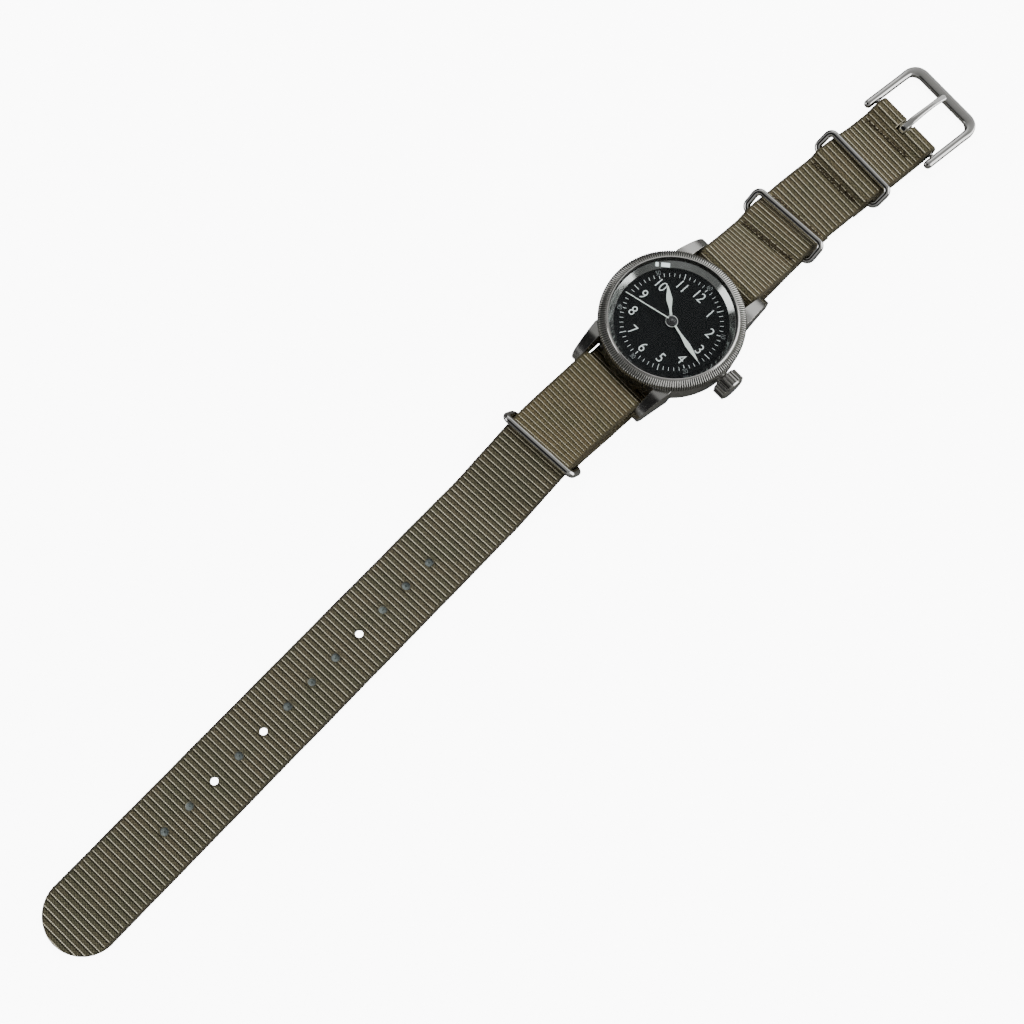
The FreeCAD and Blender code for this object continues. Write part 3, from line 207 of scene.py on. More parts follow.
def soft(name, color, rough=0.6, tint=0.2, bump=0.15, grain=5.0, specular=0.4):
    """Paint, thread or rubber: mottled colour and a grainy surface."""
    mat = new_material(name)
    coords = mat.coords()
    slow = mat.noise(coords, scale=0.9)
    fine = mat.noise(coords, scale=grain, detail=6, rough=0.65)
    dark = tuple(c * (1 - tint) for c in color)
    light = tuple(min(1, c * (1 + tint)) for c in color)
    return mat.surface(mat.principled(
        Base_Color=mat.shade(slow, dark, light),
        Roughness=mat.remap(fine, to=(rough - 0.08, rough + 0.08)),
        Normal=mat.bump(fine, strength=bump, distance=0.00004),
        Specular_IOR_Level=specular))


def webbing(name):
    """Ribbed nylon.

    UV map "strap" is mm across and mm along, both / 100. UV map "zone" is a warmer tone
    near the case and buckle, and how far the yarn round a hole has melted.
    """
    warp_pitch, weft_pitch = 0.50, 0.46
    mat = new_material(name)
    strap_uv = mat.separate(mat.add("ShaderNodeUVMap", uv_map="strap"))
    across = mat.times(strap_uv[0], 100.0)
    along = mat.times(strap_uv[1], 100.0)
    coords = mat.coords()
    tone_noise = mat.noise(coords, scale=0.16, detail=3)
    slow = mat.noise(coords, scale=0.9, detail=3)

    # the picks wander a little, so no rib is ruler straight
    wandered = mat.plus(along, mat.times(mat.minus(slow, 0.5), 0.08))
    phase = mat.math("FRACT", mat.math("DIVIDE", mat.plus(wandered, RIB_START), RIB_PITCH))
    from_mid_rib = mat.math("ABSOLUTE", mat.minus(phase, 0.5))      # 0.5 on the ridge line
    zone_uv = mat.separate(mat.add("ShaderNodeUVMap", uv_map="zone"))
    warm, melt = zone_uv[0], zone_uv[1]

    # the pale line is a lighter cord with a painted highlight of its lit crest; the picks turn
    # back at the selvage, so the pale line stops short of it; round each hole they have melted away
    inner = mat.fall(mat.math("ABSOLUTE", across), 8.25, 8.7)
    ridge = mat.times(mat.rise(from_mid_rib, 0.385, 0.475),
                      mat.times(inner, mat.minus(1.0, melt)),
                      mat.minus(1.0, mat.times(warm, 0.32)))
    # painted shade in the grooves on either side of the ridge, stronger on the side where the shadow
    # falls
    after = mat.times(mat.rise(phase, 0.08, 0.16), mat.fall(phase, 0.24, 0.40), inner,
                      mat.minus(1.0, mat.times(warm, 0.35)))
    before = mat.times(mat.rise(phase, 0.72, 0.80), mat.fall(phase, 0.84, 0.90))

    # warp yarns run along the strap; weft picks cross them
    warp = mat.math("SINE", mat.times(across, TAU / warp_pitch))
    weft = mat.math("SINE", mat.times(along, TAU / weft_pitch))
    check = mat.times(warp, weft)
    fibre = mat.noise(coords, scale=6.0, detail=6, rough=0.75)
    mottle = mat.noise(coords, scale=1.6, detail=4, rough=0.6)

    yarn = mat.plus(mat.times(check, mat.plus(0.26, mat.times(warm, 0.12))),
                    mat.times(fibre, 0.75), mat.times(mottle, 0.25))
    color = mat.ramp(yarn, [(0.22, (0.005, 0.0045, 0.0025)), (0.50, (0.050, 0.044, 0.0275)),
                            (0.80, (0.20, 0.18, 0.122))])
    tone = mat.shade(tone_noise, (0.88, 0.95, 0.86), (1.06, 1.01, 0.93), start=0.35, end=0.65)
    color = mat.mix(1.0, color, tone, blend_type="MULTIPLY")
    warmth = mat.shade(warm, (1.0, 1.0, 1.0), (1.22, 1.10, 0.90), start=0.0, end=1.0)
    color = mat.mix(1.0, color, warmth, blend_type="MULTIPLY")
    selvage = mat.remap(mat.math("ABSOLUTE", across), to=(0.0, 0.55), over=(8.35, 8.8))
    color = mat.mix(selvage, color, (0.020, 0.019, 0.016))
    # pale ridge line: lighter cord colour with a painted highlight of the lit crest
    pale = mat.shade(mat.plus(mat.times(warp, 0.16), fibre),
                     (0.22, 0.20, 0.14), (0.82, 0.78, 0.60), start=0.25)
    color = mat.mix(mat.times(ridge, 0.92), color, pale)
    # painted shade: grooves beside each ridge darkened nearly to black
    color = mat.mix(mat.times(after, 0.93), color, (0.0035, 0.003, 0.0015))
    color = mat.mix(mat.times(before, 0.35), color, (0.006, 0.005, 0.003))

    height = mat.plus(mat.times(check, 0.5), mat.times(fibre, 0.8), mat.times(ridge, 0.8))
    return mat.surface(mat.principled(
        Base_Color=color, Roughness=mat.remap(fibre, to=(0.62, 0.86)),
        Normal=mat.bump(height, strength=0.9, distance=0.00008),
        Sheen_Weight=0.06, Sheen_Roughness=0.4, Sheen_Tint=(0.85, 0.8, 0.65, 1),
        Specular_IOR_Level=0.22))


def glass(name):
    """Thin clear dome with a painted reflection: a far window with one bar glows in it as two small
    panes.
    """
    dome_slope = 0.007456       # slope per mm from the centre
    mat = new_material(name)
    uneven = mat.noise(mat.coords(), scale=0.2, detail=2)
    fresnel = mat.add("ShaderNodeFresnel", {"IOR": 1.42})
    glossy = mat.add("ShaderNodeBsdfGlossy", {"Color": (1, 1, 1, 1),
                                              "Roughness": mat.remap(uneven, to=(0.0, 0.004))})
    clear = mat.add("ShaderNodeBsdfTransparent", {"Color": (0.97, 0.98, 0.975, 1)})
    # the mirror is capped and weakened so the dial stays readable
    mirror = mat.times(mat.math("MINIMUM", fresnel.outputs[0], 0.045), 0.22)
    body = mat.add("ShaderNodeMixShader", {0: mirror, 1: clear, 2: glossy})

    # the true dome is smooth, so the painted panes use its own slope instead of the facets
    xyz = mat.separate(mat.coords())
    normal = mat.add("ShaderNodeCombineXYZ", {"X": mat.times(xyz[0], dome_slope),
                                              "Y": mat.times(xyz[1], dome_slope), "Z": 1.0})
    normal = mat.vector("NORMALIZE", normal)
    geometry = mat.add("ShaderNodeNewGeometry")
    toward = mat.vector("MULTIPLY", geometry.outputs["Incoming"], (-1.0, -1.0, -1.0))
    reflected = mat.vector("REFLECT", toward, normal)
    outside = mat.minus(1.0, geometry.outputs["Backfacing"])

    # direction of the painted window, and its two sides
    painted_window = Vector((-0.3551, 0.4529, 0.8178)).normalized()
    across = Vector((-0.0315, -0.0285, 0.0)).normalized()
    across = (across - painted_window * across.dot(painted_window)).normalized()
    down = painted_window.cross(across).normalized()

    def along(axis):
        return mat.vector("DOT_PRODUCT", reflected, axis).outputs["Value"]

    sideways = along(across)
    tall = mat.fall(mat.math("ABSOLUTE", along(down)), 0.0082, 0.0100)
    painted_wide_pane = mat.fall(mat.math("ABSOLUTE", sideways), 0.0145, 0.0165)
    painted_thin_pane = mat.fall(mat.math("ABSOLUTE", mat.minus(sideways, 0.0305)), 0.0045, 0.006)
    facing = mat.times(mat.rise(along(painted_window), 0.9, 0.95), outside)
    # painted reflection: the panes glow for camera rays only and light nothing
    painted_pane = mat.times(mat.math("MAXIMUM", painted_wide_pane, painted_thin_pane), tall, facing, mat.camera_ray())
    painted_reflection_glow = mat.add("ShaderNodeEmission", {"Color": (0.86, 1.0, 0.97, 1),
                                          "Strength": mat.times(painted_pane, 1.6)})
    return mat.surface(mat.add("ShaderNodeAddShader", {0: body, 1: painted_reflection_glow}))


def hand_paint(name, hub, ring=0.0):
    """Pale paint outside a dark hub of this radius; ring is the strength of its bright rim."""
    mat = new_material(name)
    coords = mat.coords()
    radius = mat.radius(mat.separate(coords))
    blade = mat.rise(radius, hub - 0.08, hub + 0.08)
    rim = mat.times(mat.rise(radius, hub - 0.3, hub - 0.22),
                    mat.fall(radius, hub - 0.08, hub + 0.08))
    grain = mat.noise(coords, scale=7.0, detail=5)
    lume = mat.shade(grain, (0.60, 0.68, 0.64), (0.74, 0.80, 0.76))
    dark = mat.shade(grain, (0.012, 0.012, 0.013), (0.025, 0.025, 0.027))
    color = mat.mix(blade, dark, lume)
    return mat.surface(mat.principled(
        Base_Color=mat.mix(mat.times(rim, ring), color, (0.48, 0.50, 0.49)),
        Roughness=mat.remap(grain, to=(0.4, 0.6)),
        Normal=mat.bump(grain, strength=0.3, distance=0.00002)))


def ruby(name):
    mat = new_material(name)
    cloud = mat.noise(mat.coords(), scale=2.0, detail=3)
    return mat.surface(mat.principled(
        Base_Color=mat.shade(cloud, (0.35, 0.008, 0.05), (0.6, 0.02, 0.1)), Roughness=0.08,
        IOR=1.76, Transmission_Weight=0.5, Coat_Weight=0.5))


def coin_steel(name):
    """Bright reed crests, with painted shade darkening the valleys between them and the inner edge.
    """
    mat = new_material(name)
    coords = mat.coords()
    xyz = mat.separate(coords)
    angle = mat.math("ARCTAN2", xyz[1], xyz[0])
    radius = mat.radius(xyz)
    phase = mat.math("FRACT", mat.plus(mat.times(angle, REEDS / TAU), float(REEDS)))
    # the crest runs through the middle of each reed, so the valley is at its ends
    from_crest = mat.math("ABSOLUTE", mat.minus(phase, 0.417))
    crest = mat.minus(1.0, mat.times(from_crest, 2.0))
    painted_valley_shade = mat.fall(crest, 0.26, 0.66)
    reeded = mat.times(mat.rise(radius, 15.82, 15.92), mat.rise(xyz[2], 10.3, 10.6))
    dark = mat.times(painted_valley_shade, reeded)

    slow = mat.noise(coords, scale=0.6, detail=3)
    fine = mat.noise(coords, scale=6.0, detail=5, rough=0.6)
    color = mat.shade(slow, (0.66, 0.655, 0.63), (0.76, 0.755, 0.73))
    outer = mat.times(mat.rise(radius, 15.72, 15.80), 0.34)
    color = mat.mix(outer, color, (0.14, 0.14, 0.118))
    # painted shade: the bezel's inner edge, inside radius 15.3, darkened nearly to black
    groove = mat.times(mat.fall(radius, 15.28, 15.34), 0.9)
    color = mat.mix(groove, color, (0.03, 0.03, 0.028))
    # painted shade: the reed valleys darkened nearly to black
    color = mat.mix(mat.times(dark, 0.93), color, (0.035, 0.034, 0.028))
    return mat.surface(mat.principled(
        Base_Color=color, Metallic=1.0,
        Roughness=mat.plus(mat.remap(fine, to=(0.13, 0.22)), mat.times(dark, 0.25)),
        Normal=mat.bump(fine, strength=0.06, distance=0.00002)))


def satin_top(name):
    """Polished wire whose far bar has a satin upper face."""
    mat = new_material(name)
    coords = mat.coords()
    normal = mat.add("ShaderNodeTexCoord").outputs["Normal"]
    up = mat.separate(normal)[2]
    y = mat.separate(coords)[1]
    satin = mat.times(mat.rise(up, 0.86, 0.97), mat.rise(y, 90.5, 94.5))
    brushed = mat.noise(mat.coords((0.6, 7, 7)), scale=3.0, detail=5, rough=0.6)
    cloud = mat.noise(coords, scale=5.0)
    color = mat.mix(satin, mat.shade(cloud, (0.62, 0.615, 0.60), (0.70, 0.695, 0.68)),
                    mat.shade(brushed, (0.36, 0.36, 0.345), (0.44, 0.44, 0.425)))
    return mat.surface(mat.principled(
        Base_Color=color, Metallic=1.0,
        Roughness=mat.plus(mat.remap(satin, to=(0.05, 0.30), over=(0.0, 1.0)),
                           mat.remap(brushed, to=(-0.01, 0.03))),
        Normal=mat.bump(brushed, strength=0.12, distance=0.00002)))


METALS = {
    "case_steel": dict(color=(0.64, 0.635, 0.615), rough=0.19, spread=0.04, stretch=(1, 1, 4),
                       bump=0.06, grain=5.0, edge=0.16, tint=0.06),
    "bezel_steel": dict(color=(0.57, 0.565, 0.54), rough=0.19, spread=0.04, bump=0.05),
    "rehaut_steel": dict(color=(0.62, 0.63, 0.62), rough=0.13, spread=0.03, bump=0.03),
    "hardware_steel": dict(color=(0.66, 0.655, 0.64), rough=0.055, spread=0.02, grain=4.0,
                           edge=0.12, tint=0.06),
    "plate_brass": dict(color=(0.66, 0.64, 0.60), rough=0.28, spread=0.06, bump=0.2, grain=3.0),
    "wheel_brass": dict(color=(0.78, 0.58, 0.28), rough=0.24, spread=0.06, bump=0.1, grain=5.0),
    "movement_steel": dict(color=(0.52, 0.52, 0.54), rough=0.2),
    "buckle_satin": dict(color=(0.42, 0.42, 0.41), rough=0.27, stretch=(1, 6, 6), bump=0.15,
                         grain=4.0, edge=0.12),
}
SOFTS = {
    "dial_black": dict(color=(0.0038, 0.0046, 0.0052), rough=0.6, tint=0.12, bump=0.1,
                       grain=12.0, specular=0.12),
    "thread": dict(color=(0.035, 0.026, 0.014), rough=0.75, tint=0.35, bump=0.5, grain=8.0,
                   specular=0.3),
    "rubber_seal": dict(color=(0.02, 0.02, 0.02), rough=0.7),
    "print_white": dict(color=(0.66, 0.71, 0.71), rough=0.5, tint=0.06, bump=0.1, grain=14.0),
    "print_grey": dict(color=(0.24, 0.26, 0.265), rough=0.5, tint=0.15, bump=0.1, grain=14.0),
    "melted_film": dict(color=(0.105, 0.125, 0.12), rough=0.35, tint=0.3, bump=0.5, grain=3.0,
                        specular=0.5),
    "sealed_edge": dict(color=(0.045, 0.045, 0.038), rough=0.5, tint=0.3, bump=0.3, grain=6.0,
                        specular=0.5),
}
MATERIALS = {
    **{name: metal(name, **values) for name, values in METALS.items()},
    **{name: soft(name, **values) for name, values in SOFTS.items()},
    "crystal_glass": glass("crystal_glass"),
    "hand_white": hand_paint("hand_white", hub=1.6, ring=0.9),
    "strap_webbing": webbing("strap_webbing"),
    "jewel_ruby": ruby("jewel_ruby"),
}


def dress_loaded_pieces():
    """Give each loaded piece the material of its slot, with a few pieces of their own."""
    own = {
        "second_hand": hand_paint("second_white", hub=0.95),
        "minute_hand": hand_paint("minute_white", hub=1.45),
        "buckle_frame": MATERIALS["buckle_satin"],
    }
    brass = (MATERIALS["wheel_brass"], MATERIALS["plate_brass"])
    steel_above = 10.3 * MM     # brass pieces that reach this high are steel instead
    slots = {part["node"]: part.get("material_slot")
             for part in frame["record"].get("subparts", [])}
    for name, ob in frame["nodes"].items():
        material = MATERIALS.get(slots.get(name, ""), MATERIALS["case_steel"])
        top = max((ob.matrix_world @ Vector(corner)).z for corner in ob.bound_box)
        if top > steel_above and material in brass:
            material = MATERIALS["movement_steel"]
        ob.data.materials.clear()
        ob.data.materials.append(own.get(name, material))


# --------------------------------------------------------------- mesh helpers
def mesh_object(name, verts, faces, material, uvs=None, smooth=True):
    """Mesh from points in metres; uvs maps a layer name to one UV pair per point."""
    mesh = bpy.data.meshes.new(name)
    mesh.from_pydata([tuple(v) for v in verts], [], faces)
    for layer_name, per_point in (uvs or {}).items():
        corners = np.empty(len(mesh.loops), dtype=np.int32)
        mesh.loops.foreach_get("vertex_index", corners)
        layer = mesh.uv_layers.new(name=layer_name)
        layer.data.foreach_set("uv", per_point[corners].astype(np.float32).ravel())
    mesh.polygons.foreach_set("use_smooth", [smooth] * len(mesh.polygons))
    mesh.materials.append(material)
    mesh.update()
    return link_object(name, mesh)


def link_object(name, data):
    ob = bpy.data.objects.new(name, data)
    bpy.context.scene.collection.objects.link(ob)
    return ob


def face_outward(ob):
    bm = bmesh.new()
    bm.from_mesh(ob.data)
    bmesh.ops.recalc_face_normals(bm, faces=bm.faces)
    bm.to_mesh(ob.data)
    bm.free()


def loft(rings, sides, first=0, closed=False):
    """Faces between successive rings of points: a closed loop, or capped at both ends."""
    faces = []
    for i in range(rings if closed else rings - 1):
        here = first + i * sides
        there = first + (i + 1) % rings * sides
        for k in range(sides):
            after = (k + 1) % sides
            faces.append((here + k, here + after, there + after, there + k))
    if not closed:
        last = first + (rings - 1) * sides
        faces.append(tuple(range(first, first + sides))[::-1])
        faces.append(tuple(range(last, last + sides)))
    return faces


def register(ob, rides, replaces=None):
    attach(ob, rides)
    if replaces:
        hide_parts(replaces)


# --------------------------------------------------------------- strap layout
def plan_table():
    """The strap's middle line from above: nominal y, then its x, y and yaw there."""
    step = 0.05
    nominal = np.arange(-205.0, 95.0, step)
    yaw = TAIL_YAW * np.clip((TAIL_BEND_Y - nominal) / BEND_LENGTH, 0, 1)
    yaw += MID_YAW * np.clip((nominal - MID_BEND_Y) / BEND_LENGTH, 0, 1)
    yaw += (BUCKLE_YAW - MID_YAW) * np.clip((nominal - BUCKLE_BEND_Y) / BEND_LENGTH, 0, 1)
    origin = int(np.argmin(abs(nominal)))
    x, y = np.cumsum(-np.sin(yaw) * step), np.cumsum(np.cos(yaw) * step)
    return nominal, x - x[origin], y - y[origin], yaw


PLAN = plan_table()


def plan(y):
    return tuple(np.interp(y, PLAN[0], column) for column in PLAN[1:])


def on_strap(y, x, z):
    """Point in metres at nominal y, x across the strap and height z."""
    middle_x, middle_y, yaw = plan(y)
    return Vector(((middle_x + x * math.cos(yaw)) * MM, (middle_y + x * math.sin(yaw)) * MM,
                   z * MM))


def run_path(path):
    """Sample a polyline of (y, z, corner radius): rows of y, z, direction y, z, run so far."""
    step = RIB_PITCH / 8.0
    points = [np.array(p[:2], float) for p in path]
    rows = []
    run = 0.0

    def straight(start, end):
        nonlocal run
        length = np.linalg.norm(end - start)
        if length < 1e-6:
            return
        heading = (end - start) / length
        count = max(1, int(round(length / step)))
        for i in range(count):
            done = length * i / count
            rows.append((*(start + heading * done), *heading, run + done))
        run += length

    leave = points[0]
    for i in range(1, len(points) - 1):
        before, after = points[i] - points[i - 1], points[i + 1] - points[i]
        before = before / np.linalg.norm(before)
        after = after / np.linalg.norm(after)
        turn = math.atan2(before[0] * after[1] - before[1] * after[0], float(before @ after))
        radius = path[i][2]
        trim = radius * math.tan(abs(turn) / 2)
        enter = points[i] - before * trim
        straight(leave, enter)
        side = 1.0 if turn > 0 else -1.0
        center = enter + np.array((-before[1], before[0])) * radius * side
        length = abs(turn) * radius
        count = max(1, int(round(length / step)))
        start_angle = math.atan2(enter[1] - center[1], enter[0] - center[0])
        for j in range(count):
            angle = start_angle + turn * j / count
            heading = math.atan2(before[1], before[0]) + turn * j / count
            rows.append((center[0] + radius * math.cos(angle),
                         center[1] + radius * math.sin(angle),
                         math.cos(heading), math.sin(heading), run + length * j / count))
        run += length
        leave = points[i] + after * trim
    straight(leave, points[-1])
    heading = points[-1] - points[-2]
    rows.append((*points[-1], *(heading / np.linalg.norm(heading)), run))
    return np.array(rows)


def over_bar(side, beyond_y, beyond_z):
    """Corner that takes the band round a spring bar from a point further out on that side."""
    out_y, out_z = beyond_y - BAR_Y, beyond_z - BAR_Z
    angle = math.atan2(out_z, out_y) + math.acos(BAR_WRAP / math.hypot(out_y, out_z))
    touch_y = BAR_Y + BAR_WRAP * math.cos(angle)
    touch_z = BAR_Z + BAR_WRAP * math.sin(angle)
    slope = (beyond_z - touch_z) / (beyond_y - touch_y)
    y = BAR_Y - BAR_WRAP
    return y * side, touch_z + (y - touch_y) * slope


SIX, TWELVE = over_bar(-1.0, 37.5, 5.0), over_bar(1.0, 33.0, 3.25)

# middle line of each band from its +Y start: y, z, corner radius
MAIN_PATH = [
    (56.3, 0.62, 0), (83.35, 0.62, 1.55), (83.35, 3.70, 1.55), (80.2, 3.70, 2.0),
    (77.0, 1.9, 2.5), (71.5, 1.9, 4.0), (63.6, 3.72, 2.0), (60.0, 3.72, 1.2), (58.2, 1.9, 1.2),
    (45.24, 1.9, 2.0), (39.4, 4.28, 2.0), (36.6, 4.28, 2.0), (33.0, 3.25, 3.0),
    (*TWELVE, BAR_WRAP), (TWELVE[0], 1.88, 1.0), (SIX[0], 1.88, 1.0), (*SIX, BAR_WRAP),
    (-37.5, 5.0, 6.0), (-43.2, 4.97, 6.0), (-60.5, 0.62, 12.0), (-198.4, 0.62, 0),
]
UNDER_PATH = [
    (47.4, 0.62, 0), (42.5, 0.62, 6.0), (38.5, 1.2, 6.0), (33.0, 1.2, 6.0), (25.0, 0.62, 8.0),
    (-41.95, 0.62, 1.55), (-41.95, 3.7, 1.55), (-37.9, 3.7, 2.0), (-33.8, 1.87, 2.0),
    (-27.0, 1.87, 0),
]
MAIN_ROWS = run_path(MAIN_PATH)

# points across the top of a band, mirrored about its middle, on a scale where 9 is the edge
HALF_COLUMNS = [0.75, 1.5, 2.3, 3.4, 5.0, 6.6, 7.9, 8.5, 8.78, 8.94, 9.0]
COLUMNS = np.array([-c for c in reversed(HALF_COLUMNS)] + [0.0] + HALF_COLUMNS)


# --------------------------------------------------------------- strap pieces
def rib(run):
    """Height of the webbing surface above its mean half thickness."""
    phase = ((run + RIB_START) / RIB_PITCH) % 1.0
    ridge = np.exp(-((0.5 - np.abs(phase - 0.5)) / 0.085) ** 2)
    groove = (np.exp(-((phase - 0.21) / 0.09) ** 2)
              + 0.35 * np.exp(-((phase - 0.82) / 0.05) ** 2))
    return 0.085 * ridge - 0.13 * groove - 0.05


def wander(seed, run, amount, length):
    """Slow irregular wave along the run."""
    draw = np.random.RandomState(seed)
    total = np.zeros_like(run)
    for k in range(1, 5):
        total += amount / k * np.sin(TAU * run * k / length + draw.rand() * 6.28)
    return total


def extra_picks(y, z, run):
    """Run added where the band bends over the spring bars, counted back from the tail."""
    away = np.abs(y)
    rate = (0.22 * (z > 2.2).astype(float) * np.clip((44.0 - away) / 3.0, 0, 1)
            * np.clip((away - 12.0) / 3.0, 0, 1))
    total = np.concatenate(([0.0], np.cumsum(0.5 * (rate[1:] + rate[:-1]) * np.diff(run))))
    return total - total[-1]


def band(name, rows, seed, tip=None):
    """Ribbed band along sampled rows; tip is the length of a rounded far end."""
    y, z, along_y, along_z, run = rows.T
    half_width = STRAP_HALF_WIDTH + wander(seed, run, amount=0.025, length=23.0)
    if tip is not None:
        into_tip = np.clip(run - (run[-1] - tip), 0, tip * 0.9995)
        rounded = np.sqrt(tip ** 2 - into_tip ** 2) * STRAP_HALF_WIDTH / tip + 0.02
        half_width = np.minimum(half_width, rounded)
    run = run + extra_picks(y, z, run)

    # each ring goes across the top face and back across the bottom one;
    # arrays have a row per station and a column per point of the ring
    columns = np.concatenate((COLUMNS, COLUMNS[::-1]))
    face = np.repeat((1.0, -1.0), len(COLUMNS))
    across = columns / COLUMNS[-1]
    thin_edge = np.sqrt(np.clip(1 - np.clip((np.abs(columns) - 8.35) / 0.66, 0, 1) ** 2, 0.08, 1))
    y, z, along_y, along_z, run = (a[:, None] for a in (y, z, along_y, along_z, run))
    # the weave bulges at every selvage turn, so the edge is scalloped
    selvage = np.sign(across) * (np.abs(across) > 0.985)
    x = across * half_width[:, None]
    x = x + selvage * 0.02 * np.cos(TAU * (run + RIB_START) / RIB_PITCH)
    offset = face * (STRAP_HALF_THICK + rib(run)) * thin_edge
    lift = wander(seed + 5, run, amount=0.03, length=31.0) * across ** 2
    yaw = plan(y)[2]
    middle_x, middle_y, _ = plan(y - along_z * offset)
    points = np.stack((middle_x + x * np.cos(yaw), middle_y + x * np.sin(yaw),
                       np.maximum(z + along_y * offset + lift, 0.012)), axis=-1)

    warm = (np.clip((46.0 - np.abs(y)) / 4.0, 0, 1) * np.where(y > 0, 0.5, 0.85)
            + 0.45 * np.clip((y - 40.0) / 6.0, 0, 1))
    to_hole = np.hypot(y[:, :, None] - np.array(HOLE_Y), x[:, :, None]).min(axis=2)
    melt = np.clip((1.75 - to_hole) / 0.5, 0, 1)
    strap_uv = np.stack((x / 100.0, np.broadcast_to(run / 100.0, x.shape)), axis=-1)
    zone_uv = np.stack((np.broadcast_to(np.clip(warm, 0, 1), x.shape), melt), axis=-1)
    ob = mesh_object(name, points.reshape(-1, 3) * MM, loft(*x.shape),
                     MATERIALS["strap_webbing"],
                     {"strap": strap_uv.reshape(-1, 2), "zone": zone_uv.reshape(-1, 2)})
    face_outward(ob)
    return ob


def strap_cutter():
    """Round holes for the tail, and the tongue slot where the strap turns at the buckle."""
    slot_width, slot_length, slot_depth, slot_start = 2.8, 6.3, 6, 79.3
    bm = bmesh.new()
    for k, y in enumerate(HOLE_Y):
        radius = (0.95 + 0.05 * math.sin(k * 2.3)) * MM
        bmesh.ops.create_cone(bm, cap_ends=True, segments=28, radius1=radius, radius2=radius,
                              depth=4 * MM, matrix=Matrix.Translation(on_strap(y, 0, 0.6)))
    center = on_strap(slot_start + slot_length / 2, 0, 2.2)
    size = Matrix.Diagonal((slot_width * MM, slot_length * MM, slot_depth * MM, 1))
    bmesh.ops.create_cube(bm, size=1.0, matrix=Matrix.Translation(center)
                          @ Matrix.Rotation(BUCKLE_YAW, 4, "Z") @ size)
    mesh = bpy.data.meshes.new("strap_cutter")
    bm.to_mesh(mesh)
    bm.free()
    return link_object("strap_cutter", mesh)


def cut_strap(strap):
    cutter = strap_cutter()
    cut = strap.modifiers.new("cut", "BOOLEAN")
    cut.operation = "DIFFERENCE"
    cut.object = cutter
    cut.solver = "MANIFOLD"
    depsgraph = bpy.context.evaluated_depsgraph_get()
    result = bpy.data.meshes.new_from_object(strap.evaluated_get(depsgraph))
    strap.modifiers.clear()
    # a failed boolean gives an almost empty mesh; the strap then stays uncut
    if len(result.polygons) > 1000:
        strap.data = result
        strap.data.name = "strap_main_webbing"
    bpy.data.objects.remove(cutter)


def build_straps():
    strap = band("strap_main_webbing", MAIN_ROWS, seed=3, tip=TIP_LENGTH)
    under = band("strap_under_webbing", run_path(UNDER_PATH), seed=9)
    cut_strap(strap)
    register(strap, "head_and_strap", "main_strap")
    register(under, "head_and_strap", "under_strap")


def hole_pieces(name, holes, sides, profile, shape, material):
    """Turn a closed (radius, z) profile round each hole; shape(hole) gives its distortion."""
    verts, faces = [], []
    for k in holes:
        center = on_strap(HOLE_Y[k], 0, 0.0)
        distort = shape(k)
        ring_faces = loft(sides, len(profile), first=len(verts), closed=True)
        faces += [(a, d, c, b) for a, b, c, d in ring_faces]
        for i in range(sides):
            angle = TAU * i / sides
            for radius, z in profile:
                verts.append(center + Vector(distort(angle, radius, z)) * MM)
    ob = mesh_object(name, verts, faces, MATERIALS[material])
    register(ob, "head_and_strap")


def rim_shape(k):
    """Uneven outline outside radius 1."""
    start = random.Random(k).random() * 6.28

    def distort(angle, radius, z):
        if radius > 1.0:
            radius *= 1 + 0.04 * math.sin(2 * angle + start) + 0.03 * math.sin(5 * angle + start * 2)
        return radius * math.cos(angle), radius * math.sin(angle), z
    return distort


def film_shape(k):
    """Middle pushed off centre, and a surface that waves towards its edge."""
    draw = random.Random(90 + k)
    shift_x, shift_y = draw.uniform(-0.12, 0.12), draw.uniform(-0.12, 0.12)

    def distort(angle, radius, z):
        inward = 1 - radius
        return (radius * math.cos(angle) + shift_x * inward,
                radius * math.sin(angle) + shift_y * inward,
                z + 0.05 * math.sin(3 * angle + k) * radius)
    return distort


def build_hole_pieces():
    """Heat-sealed rims, and a thin skin of melted yarn in all but three holes."""
    rim_profile = ((0.92, 1.14), (0.96, 1.19), (1.02, 1.20), (1.10, 1.12), (1.10, 0.84),
                   (0.92, 0.84))
    film_profile = ((0.0, 0.62), (0.45, 0.66), (0.8, 0.72), (0.99, 0.86), (0.99, 0.5),
                    (0.8, 0.4), (0.45, 0.35))
    clean_holes = (3, 7, 9)
    every = range(len(HOLE_Y))
    hole_pieces("strap_hole_rims", every, 28, rim_profile, rim_shape, "sealed_edge")
    hole_pieces("strap_hole_films", [k for k in every if k not in clean_holes], 24,
                film_profile, film_shape, "melted_film")


def strap_top(y):
    near = MAIN_ROWS[np.abs(MAIN_ROWS[:, 0] - y) < 0.35]
    return float(near[:, 1].max()) + 0.58


def stitch_lines(row, row_y):
    """Zigzag stitches across the strap, each a low arch of seven points."""
    start_x, end_x, skew = -7.5, 6.3, 0.055
    draw = random.Random(40 + row)
    lines = []
    x = start_x
    while x < end_x:
        wide, tall = draw.uniform(1.2, 1.7), draw.uniform(0.6, 0.95)
        corners = ((x, row_y - tall + draw.uniform(-0.1, 0.1)),
                   (x + wide * 0.25, row_y + tall * draw.uniform(0.7, 1.0)),
                   (x + wide * draw.uniform(0.55, 0.9), row_y - tall * draw.uniform(0.3, 0.9)),
                   (x + wide * 1.15, row_y + tall * draw.uniform(0.1, 0.7)))
        for start, end in zip(corners, corners[1:]):
            line = []
            for i in range(7):
                t = i / 6.0
                across = start[0] + (end[0] - start[0]) * t
                # each row is slightly askew: its +X end is nearer the buckle
                y = start[1] + (end[1] - start[1]) * t + skew * (across - start_x)
                arch = -0.02 + 0.17 * math.sin(math.pi * t)
                line.append(on_strap(y, across, strap_top(y) + arch))
            lines.append(line)
        x += wide * 1.15 + draw.uniform(0.05, 0.5)
    return lines


